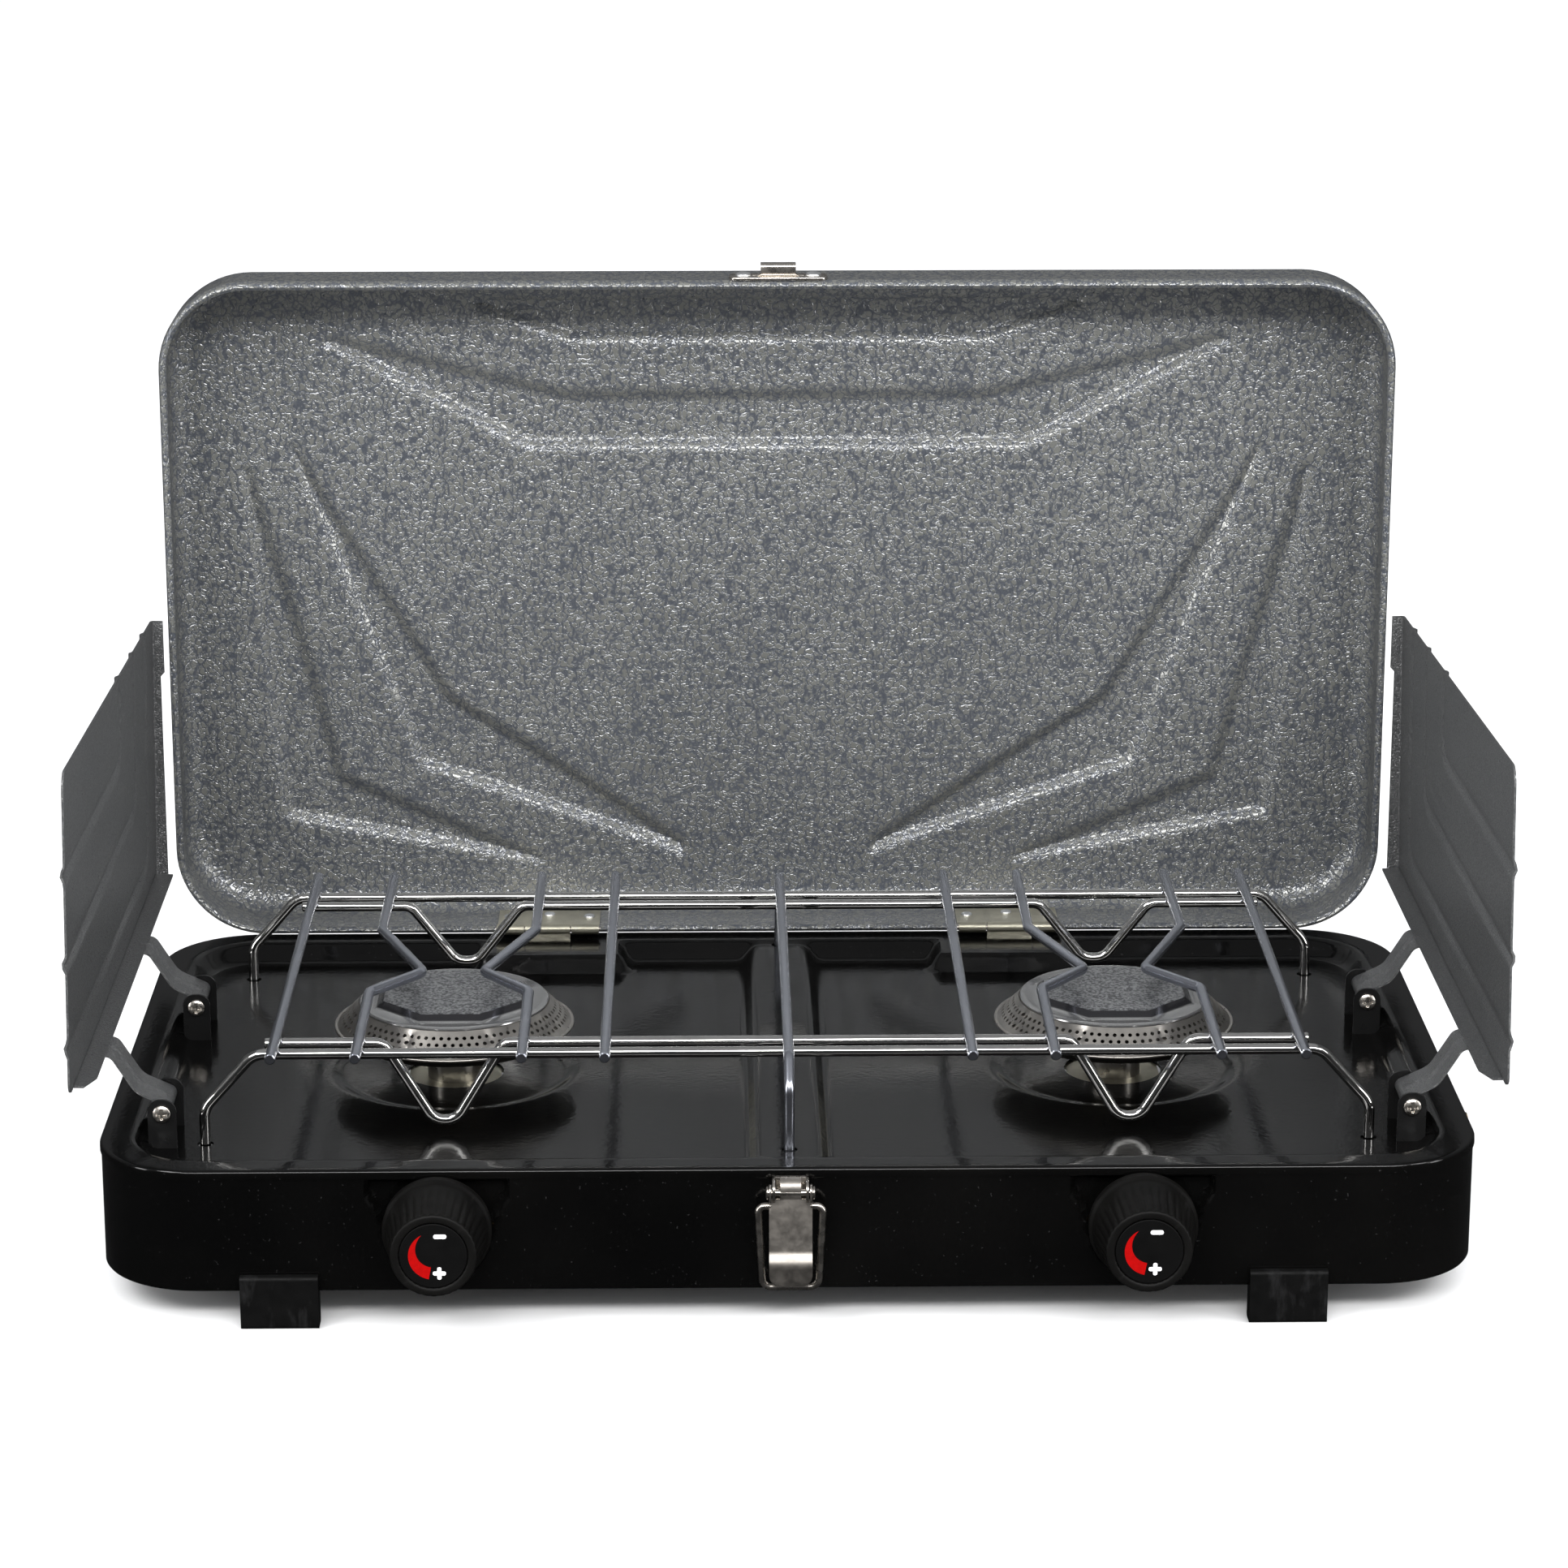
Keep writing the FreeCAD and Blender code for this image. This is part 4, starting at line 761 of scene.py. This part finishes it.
def cross_head(shape, x, y, z, radius, height):
    """A screw's domed head, facing -Y, with a cross recess."""
    rows = []
    steps, slot_half, slot_depth = 64, 0.62, 0.9
    for k in range(13):
        r = radius * k / 12
        row = []
        for j in range(steps):
            angle = 2 * math.pi * j / steps
            px, pz = r * math.cos(angle), r * math.sin(angle)
            dome = height * (1 - 0.45 * (r / radius) ** 2.4)
            slot = smooth((slot_half - min(abs(px), abs(pz))) / 0.25)
            cut = slot_depth * float(slot) * float(smooth((0.62 * radius - r) / 0.3))
            row.append((x + px, y - dome + cut, z + pz))
        rows.append(row)
    rows.append([(x + 0.99 * radius * math.cos(2 * math.pi * j / steps), y,
                  z + 0.99 * radius * math.sin(2 * math.pi * j / steps)) for j in range(steps)])
    shape.grid(rows, closed=True)


def build_pivots():
    for side, name in SIDES:
        x = side * PIVOT_X
        shape = Build()
        for arm_y in ARM_YS:
            cross_head(shape, x, arm_y - EAR_OUT, PIVOT_Z, 3.2, 2.0)
            shank = [(0, -EAR_OUT), (1.8, -EAR_OUT), (1.8, 15.0), (0, 15.0)]
            shape.lathe(shank, (x, arm_y, PIVOT_Z), "y", 24)
            corners = [math.radians(a) for a in range(0, 360, 60)]
            nut = [(x + 3.1 * math.cos(a), PIVOT_Z + 3.1 * math.sin(a)) for a in corners]
            shape.prism(nut, "y", arm_y + EAR_OUT, arm_y + EAR_OUT + 1.6)
        shape.piece("pivot_hardware_" + name, "stove_base", "nickel", NICKEL, ["pivot_screws_" + name],
                    bevel=0.12)


# ---------- burners
HOLES_ROUND = 84
BAND_LOW, BAND_HIGH = (44.6, 70.9), (36.4, 79.3)


def band_point(angle, share):
    """A point of the flame band, share of the way up, with eight pressed creases."""
    turn = math.degrees(angle) % 45 - 22.5
    crease = 0.7 * max(0.0, 1 - abs(turn) / 2.4) * min(1.0, 6 * share, 6 * (1 - share))
    radius = BAND_LOW[0] + share * (BAND_HIGH[0] - BAND_LOW[0]) - crease
    height = BAND_LOW[1] + share * (BAND_HIGH[1] - BAND_LOW[1])
    return radius * math.cos(angle), radius * math.sin(angle), height


def build_band(cx, cy):
    """The perforated cone: three staggered rows of round holes, with plain margins above and below."""
    shape = Build()
    pitch = 2 * math.pi / HOLES_ROUND
    slant = math.hypot(BAND_LOW[0] - BAND_HIGH[0], BAND_HIGH[1] - BAND_LOW[1])
    first, row_share, hole_r = 0.15, 0.235, 0.78

    def spot(angle, share):
        x, y, z = band_point(angle, share)
        return cx + x, cy + y, z

    for row in range(3):
        middle_share = first + row * row_share + row_share / 2
        radius = BAND_LOW[0] + middle_share * (BAND_HIGH[0] - BAND_LOW[0])
        for k in range(HOLES_ROUND):
            middle = (k + 0.5 * (row % 2)) * pitch
            hole, cell = [], []
            for j in range(8):
                c, s = math.cos(math.pi / 4 * j), math.sin(math.pi / 4 * j)
                square = max(abs(c), abs(s))
                hole.append(spot(middle + hole_r * c / radius, middle_share + hole_r * s / slant))
                cell.append(spot(middle + pitch / 2 * c / square, middle_share + row_share / 2 * s / square))
            shape.grid([hole, cell], closed=True)
    around = [pitch / 2 * k for k in range(2 * HOLES_ROUND)]
    for low, high in ((0.0, first), (first + 3 * row_share, 1.0)):
        levels = [low + (high - low) * k / 3 for k in range(4)]
        shape.grid([[spot(a, share) for a in around] for share in levels], closed=True)
    return shape


def cap_ring(cx, cy, reach, height, octagon, steps=128):
    """A ring that is a circle at octagon 0 and an eight-sided outline at 1."""
    row = []
    for k in range(steps):
        angle = 2 * math.pi * k / steps
        turn = (angle + math.pi / 8) % (math.pi / 4) - math.pi / 8
        r = reach * ((1 - octagon) + octagon / math.cos(turn))
        row.append((cx + r * math.cos(angle), cy + r * math.sin(angle), height))
    return row


def build_burners():
    bowl = rounded([(9.6, 0, 46.0), (10.5, 0, 46.0), (10.5, 0, 59.0), (14.5, 0, 61.5), (41.0, 0, 66.5),
                    (43.8, 0, 70.0), (45.7, 0, 70.0), (45.7, 0, 71.0), (43.6, 0, 71.0), (40.0, 0, 67.6),
                    (13.5, 0, 62.6), (9.6, 0, 60.0)],
                   [0.2, 0.2, 2.0, 3.0, 4.0, 1.0, 0.4, 0.4, 0.4, 3.0, 2.0, 1.0], closed=True)
    cap = [(reach, CAP_TOP, 1) for reach in (0.0, 8.0, 16.0, 25.4)]
    cap += [(25.8, 82.86, 1), (26.1, 82.7, 1), (28.6, 80.8, 1), (28.9, 80.5, 1), (29.6, 80.35, 0.9),
            (31.0, 80.25, 0.3), (33.6, 80.3, 0.0), (34.8, 80.4, 0.0), (35.5, 80.3, 0.0), (36.0, 79.9, 0.0),
            (36.1, 79.4, 0.0), (35.6, 79.2, 0.0), (20.0, 79.3, 0.0), (0.0, 79.3, 0.0)]
    for side, name in SIDES:
        cx = side * BURNER_X
        shape = Build()
        shape.lathe([(p.x, p.z) for p in bowl + bowl[:1]], (cx, BURNER_Y, 0), "z", 96)
        shape.piece("burner_pan_" + name, "stove_base", "burner_steel", STAINLESS, ["burner_bowl_" + name])
        band = build_band(cx, BURNER_Y)
        band.piece("flame_band_" + name, "stove_base", "burner_steel", STAINLESS, ["burner_band_" + name],
                   thick=0.5, core=(cx, BURNER_Y, 70), sharp=50.0)
        top = Build()
        top.grid([cap_ring(cx, BURNER_Y, *ring) for ring in cap], closed=True)
        top.piece("burner_top_" + name, "stove_base", "burner_cap", CAP_GREY, ["burner_cap_" + name],
                  sharp=30.0)


# ---------- pan grate
def build_grate():
    for y, name in zip(RAIL_YS, ("front", "rear")):
        rail = Build()
        half = [(LEG_X, LEG_LOW), (LEG_X, 66.0), (194.5, ROD_Z)]
        points = [(-x, y, z) for x, z in half] + [(x, y, z) for x, z in reversed(half)]
        rail.tube(rounded(points, [9.0], step=8.0), WIRE_R)
        rail.piece("rail_" + name, "pan_grate", "chrome_wire", CHROME, ["grate_rail_" + name])
    for y, tip, name in ((VROD_YS[0], 57.0, "front"), (VROD_YS[1], 64.0, "rear")):
        rod = Build()
        points, radii = [(-ROD_END, ROD_Z)], [0.0]
        for cx in (-BURNER_X, BURNER_X):
            points += [(cx - 22, ROD_Z), (cx - 4.2, tip), (cx + 4.2, tip), (cx + 22, ROD_Z)]
            radii += [6.0, 7.0, 7.0, 6.0]
        points.append((ROD_END, ROD_Z))
        rod.tube(rounded([(x, y, z) for x, z in points], radii + [0.0], step=8.0), WIRE_R)
        rod.piece("vrod_" + name, "pan_grate", "chrome_wire", CHROME, ["grate_vrod_" + name])
    front, rear = WIRE_ENDS
    straight, kinked = (66.5, 187.0), ((96.5, 114.5), (156.5, 137.5))
    crossings = [0.0]
    for side, name in SIDES:
        wires = Build()
        for x in straight:
            wires.tube([(side * x, y, WIRE_Z) for y in (front, 0, rear)], WIRE_R)
        for x, kink in kinked:
            points = [(x, front), (x, -32.0), (kink, BURNER_Y), (x, 44.0), (x, rear)]
            wires.tube(rounded([(side * px, py, WIRE_Z) for px, py in points], [5.0], step=8.0), WIRE_R)
        wires.piece("cross_wires_" + name, "pan_grate", "zinc_wire", ZINC_WIRE, ["grate_wires_" + name])
        crossings += [side * x for x in (*straight, *(x for x, _ in kinked))]
    centre = Build()
    front, rear = CENTRE_YS
    shoulder, drop = 9.0, 8.7
    points = [(front, LEG_LOW), (front, WIRE_Z - drop), (front + shoulder, WIRE_Z), (rear - shoulder, WIRE_Z),
              (rear, WIRE_Z - drop), (rear, LEG_LOW)]
    centre.tube(rounded([(0, y, z) for y, z in points], [6.0], step=8.0), WIRE_R)
    centre.piece("centre_wire", "pan_grate", "zinc_wire", ZINC_WIRE, ["grate_wire_centre"])
    welds = Build()
    turn = [math.radians(a) for a in range(-90, 91, 30)]
    bead = [(2.0 * math.cos(a), 0.9 * math.sin(a)) for a in turn]
    for x in crossings:
        for y in RAIL_YS + VROD_YS:
            welds.lathe(bead, (x, y, (ROD_Z + WIRE_Z) / 2), "z", 16)
    welds.piece("grate_welds", "pan_grate", "chrome_wire", CHROME)


# ---------- knobs
FLUTES = 34


def flute(height, angle):
    """Grooves that run back from the front edge and fade before the skirt."""
    fade = float(smooth((height + 166.2) / 1.0)) * float(smooth((-146.5 - height) / 9.0))
    wave = 0.5 + 0.5 * math.cos(FLUTES * angle)
    return 1.0 - 0.024 * fade * wave ** 2


def print_mark(name, side, outlines, ink):
    """Raised print on a knob's label; the outlines are measured from the knob's middle."""
    mark = Build()
    for outline in outlines:
        mark.prism([(side * BURNER_X + x, KNOB_Z + z) for x, z in outline], "y", PRINT_BACK, PRINT_FACE)
    mark.piece(name, "control_" + dict(SIDES)[side], "knob_label", ink, sharp=30.0)


def build_knobs():
    cone_r, cone_fall, cone_y, cone_depth, steps = 18.4, 2.9, -145.0, 20.0, 14
    body = [(0, KNOB_BACK), (18.9, KNOB_BACK), (19.5, -139.5), (19.6, -142.6), (19.3, -143.4), (18.7, -143.9)]
    body += [(cone_r - cone_fall * k / steps, cone_y - cone_depth * k / steps) for k in range(steps + 1)]
    body += [(15.3, -165.9), (14.9, -166.3), (14.3, KNOB_RIM), (13.4, KNOB_RIM), (12.6, -166.3),
             (12.2, -165.8), (12.1, -165.2), (0, -165.2)]
    label = [(0, -165.4), (11.9, -165.4), (11.95, -166.1), (11.7, LABEL_FACE), (0, LABEL_FACE)]
    crescent_r, crescent_width = 8.8, 4.5
    outer, inner = [], []
    for k in range(41):
        angle = math.radians(117 + 142 * k / 40)
        r = crescent_r - crescent_width * (1 - (1 - k / 40) ** 1.8)
        outer.append((crescent_r * math.cos(angle), crescent_r * math.sin(angle)))
        inner.append((r * math.cos(angle), r * math.sin(angle)))
    crescent = outer + inner[:0:-1]
    minus_x, minus_z, plus_x, plus_z, arm, half = 2.5, 7.3, 2.1, -6.5, 2.3, 0.75
    minus = box_outline(minus_x - arm, minus_z - 0.8, minus_x + arm, minus_z + 0.8, half)
    cross = [(-half, half), (-arm, half), (-arm, -half), (-half, -half), (-half, -arm), (half, -arm)]
    cross += [(-x, -z) for x, z in cross]
    plus = rounded([(plus_x + x, plus_z + z, 0) for x, z in cross], [0.0, 0.6, 0.6] * 4, closed=True,
                   step=30.0)
    signs = [[(p.x, p.y) for p in sign] for sign in (minus, plus)]
    for side, name in SIDES:
        centre = (side * BURNER_X, 0, KNOB_Z)
        knob = Build()
        knob.lathe(body, centre, "y", FLUTES * 10, flute)
        knob.piece("knob_grip_" + name, "control_" + name, "knob_plastic", KNOB, ["knob_" + name], sharp=45.0)
        disc = Build()
        disc.lathe(label, centre, "y", 64)
        disc.piece("knob_disc_" + name, "control_" + name, "knob_label", LABEL, ["knob_label_" + name])
        print_mark("heat_mark_" + name, side, [crescent], RED)
        print_mark("heat_signs_" + name, side, signs, WHITE)


# ---------- latch
def build_latch():
    bracket = Build()
    bracket.prism(box_outline(-6.5, 40.0, 6.5, 56.5, 1.5), "y", LATCH_BACK, -CASE_Y)
    for x in (-6.5, 5.5):
        ear = rounded([(-138.2, 48.0, 0), (-146.5, 48.6, 0), (-146.5, 56.2, 0), (-138.2, 56.4, 0)],
                      [0.3, 3.4, 3.4, 0.5], closed=True, step=20.0)
        bracket.prism(ear, "x", x, x + 1.0)
    bracket.piece("latch_mount", "stove_base", "nickel", NICKEL, ["latch_bracket"], bevel=0.2)
    pin = Build()
    half = [(1.2, 8.0), (2.4, 8.1), (2.3, 8.5), (1.7, 8.8), (0, 8.9)]
    pin.lathe([(r, -x) for r, x in reversed(half)] + half, (0, LATCH_PIVOT_Y, 52.4), "x", 32)
    pin.piece("latch_pivot", "stove_base", "nickel", NICKEL, ["latch_pin"])
    heads = Build()
    for x in (-3.6, 3.6):
        rivet(heads, x, LATCH_BACK, 42.5, 1.6, 0.9, "y", -1)
    heads.piece("latch_rivet_heads", "stove_base", "nickel", NICKEL, ["latch_rivets"])
    lever = Build()
    # y, z and half width down the handle
    line = [(-141.0, 56.6, 3.7), (-143.0, 56.4, 3.7), (-144.2, 55.4, 3.7), (-144.6, 53.8, 3.7),
            (-144.4, 50.8, 3.7), (-144.3, 50.3, 3.9), (-144.3, 50.1, 7.2), (-144.4, 49.6, 7.7),
            (-145.1, 44.0, 7.7), (-145.9, 37.0, 7.7), (-146.5, 31.4, 7.7), (-146.7, 30.4, 7.7),
            (-147.3, 29.4, 7.7), (-148.3, 27.8, 7.7), (-148.7, 26.6, 7.7), (-148.6, 25.0, 7.7),
            (-148.4, 22.4, 7.7), (-148.3, 20.8, 7.3), (-148.2, 19.6, 6.4), (-148.1, 18.9, 5.2),
            (-148.1, 18.6, 3.8)]
    lever.strip([(0, y, z) for y, z, _ in line], [w for _, _, w in line], (1, 0, 0))
    lever.piece("latch_handle", "latch", "nickel", SATIN, ["latch_lever"], thick=1.1, offset=0.0, bevel=0.25)
    cheeks = Build()
    for x in (-7.7, 6.9):
        cheek = rounded([(-144.9, 44.0, 0), (-141.2, 46.0, 0), (-141.2, 55.4, 0), (-146.7, 55.4, 0),
                         (-146.9, 49.6, 0), (-144.9, 49.0, 0)],
                        [0.5, 1.5, 2.6, 2.6, 1.0, 0.3], closed=True, step=20.0)
        cheeks.prism(cheek, "x", x, x + 0.8)
    cheeks.piece("latch_handle_cheeks", "latch", "nickel", NICKEL, bevel=0.12)
    bail = Build()
    points = [(-6.8, 47.4), (-11.6, 47.4), (-9.9, 16.6), (9.9, 16.6), (11.6, 47.4), (6.8, 47.4)]
    path = rounded([(x, LATCH_PIVOT_Y, z) for x, z in points], [0, 2.4, 3.2, 3.2, 2.4, 0], step=10.0)
    bail.tube(path, 1.3)
    bail.piece("latch_loop", "bail", "nickel", NICKEL, ["latch_bail"])


# ---------- CAD nodes that stay
def dress(prefix, material, bevel=0.0):
    """Gives every CAD node whose name starts with the prefix a material, and eased edges if bevel is set."""
    for name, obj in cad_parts.items():
        if not name.startswith(prefix):
            continue
        obj.data.materials.clear()
        obj.data.materials.append(material)
        for face in obj.data.polygons:
            face.material_index = 0
        if bevel:
            ease(obj, bevel)


for prefix, material, bevel in (
    ("foot_", RUBBER, 0.7), ("burner_bracket", ZINC_PLATE, 0.2), ("shield_bracket", BLACK_STEEL, 0.25),
    ("valve_body", BRASS, 0.4), ("valve_stem", BRASS, 0.0), ("gas_jet", BRASS, 0.0),
    ("gas_inlet", BRASS, 0.4), ("mixing_tube", ALUMINIUM, 0.0), ("manifold_pipe", ALUMINIUM, 0.0),
    ("hinge_pins", NICKEL, 0.0),
):
    dress(prefix, material, bevel)

build_case()
build_lid()
build_catch()
build_hinges()
build_shields()
build_pivots()
build_burners()
build_grate()
build_knobs()
build_latch()


# ---------- stage, light and camera
def build_stage():
    reach = 14.0
    mesh = bpy.data.meshes.new("floor")
    corners = [(-reach, -reach, 0), (reach, -reach, 0), (reach, reach, 0), (-reach, reach, 0)]
    mesh.from_pydata(corners, [], [(0, 1, 2, 3)])
    floor = bpy.data.objects.new("floor", mesh)
    bpy.context.scene.collection.objects.link(floor)
    p = Paint("floor_paper")
    colour = p.mix(p.ramp(p.noise(3.0), 0.3, 0.7), (0.88, 0.88, 0.88), (0.9, 0.9, 0.9))
    mesh.materials.append(p.finish(colour, p.ramp(p.noise(40.0), 0.3, 0.7, 0.7, 0.8)))
    floor.visible_glossy = False


def add_light(name, place, aim, width, height, power):
    light = bpy.data.lights.new(name, "AREA")
    light.shape = "RECTANGLE"
    light.size, light.size_y = width, height
    light.energy = power
    obj = bpy.data.objects.new(name, light)
    obj.location = place
    obj.rotation_euler = (Vector(aim) - Vector(place)).to_track_quat("-Z", "Y").to_euler()
    bpy.context.scene.collection.objects.link(obj)


def build_light():
    """A world that is bright overhead and dim at the horizon, mostly kept out of reflections, and lamps."""
    dim, bright, full_height, kept_out = 0.15, 1.5, 0.75, 0.82
    world = bpy.data.worlds.new("studio")
    world.use_nodes = True
    nodes, links = world.node_tree.nodes, world.node_tree.links
    split = nodes.new("ShaderNodeSeparateXYZ")
    links.new(nodes.new("ShaderNodeTexCoord").outputs["Generated"], split.inputs[0])
    rise = nodes.new("ShaderNodeMapRange")
    for key, value in (("From Max", full_height), ("To Min", dim), ("To Max", bright)):
        rise.inputs[key].default_value = value
    links.new(split.outputs["Z"], rise.inputs["Value"])
    mirror = nodes.new("ShaderNodeMath")
    mirror.operation = "MULTIPLY_ADD"
    links.new(nodes.new("ShaderNodeLightPath").outputs["Is Glossy Ray"], mirror.inputs[0])
    mirror.inputs[1].default_value = -kept_out
    mirror.inputs[2].default_value = 1.0
    strength = nodes.new("ShaderNodeMath")
    strength.operation = "MULTIPLY"
    links.new(rise.outputs["Result"], strength.inputs[0])
    links.new(mirror.outputs[0], strength.inputs[1])
    background = nodes["Background"]
    links.new(strength.outputs[0], background.inputs["Strength"])
    background.inputs["Color"].default_value = (0.97, 0.98, 1.0, 1.0)
    bpy.context.scene.world = world
    bpy.context.scene.view_settings.view_transform = "Standard"
    add_light("key", (-1.3, -1.3, 1.6), (0, 0, 0.12), 0.6, 0.9, 20.0)
    add_light("brow", (0.2, -2.3, 1.85), (0, 0, 0.2), 3.0, 0.55, 80.0)
    add_light("fill", (1.6, -1.1, 1.3), (0, 0, 0.12), 0.5, 0.9, 10.0)
    add_light("side_left", (-2.1, -0.9, 0.5), (0, 0, 0.2), 0.45, 0.9, 12.0)
    add_light("side_right", (2.1, -0.9, 0.5), (0, 0, 0.2), 0.45, 0.9, 12.0)


def build_camera():
    azimuth, elevation = math.radians(-0.94), math.radians(16.0)
    target, distance = Vector((-0.00001, 0.0, 0.16223)), 1.7543
    back = Vector((math.sin(azimuth) * math.cos(elevation), -math.cos(azimuth) * math.cos(elevation),
                   math.sin(elevation)))
    lens = bpy.data.cameras.new("camera")
    lens.sensor_width = 36.0
    lens.lens = 106.36
    lens.clip_start, lens.clip_end = 0.05, 60.0
    camera = bpy.data.objects.new("camera", lens)
    camera.location = target + back * distance
    camera.rotation_euler = (-back).to_track_quat("-Z", "Y").to_euler()
    bpy.context.scene.collection.objects.link(camera)
    bpy.context.scene.camera = camera


build_stage()
build_light()
build_camera()
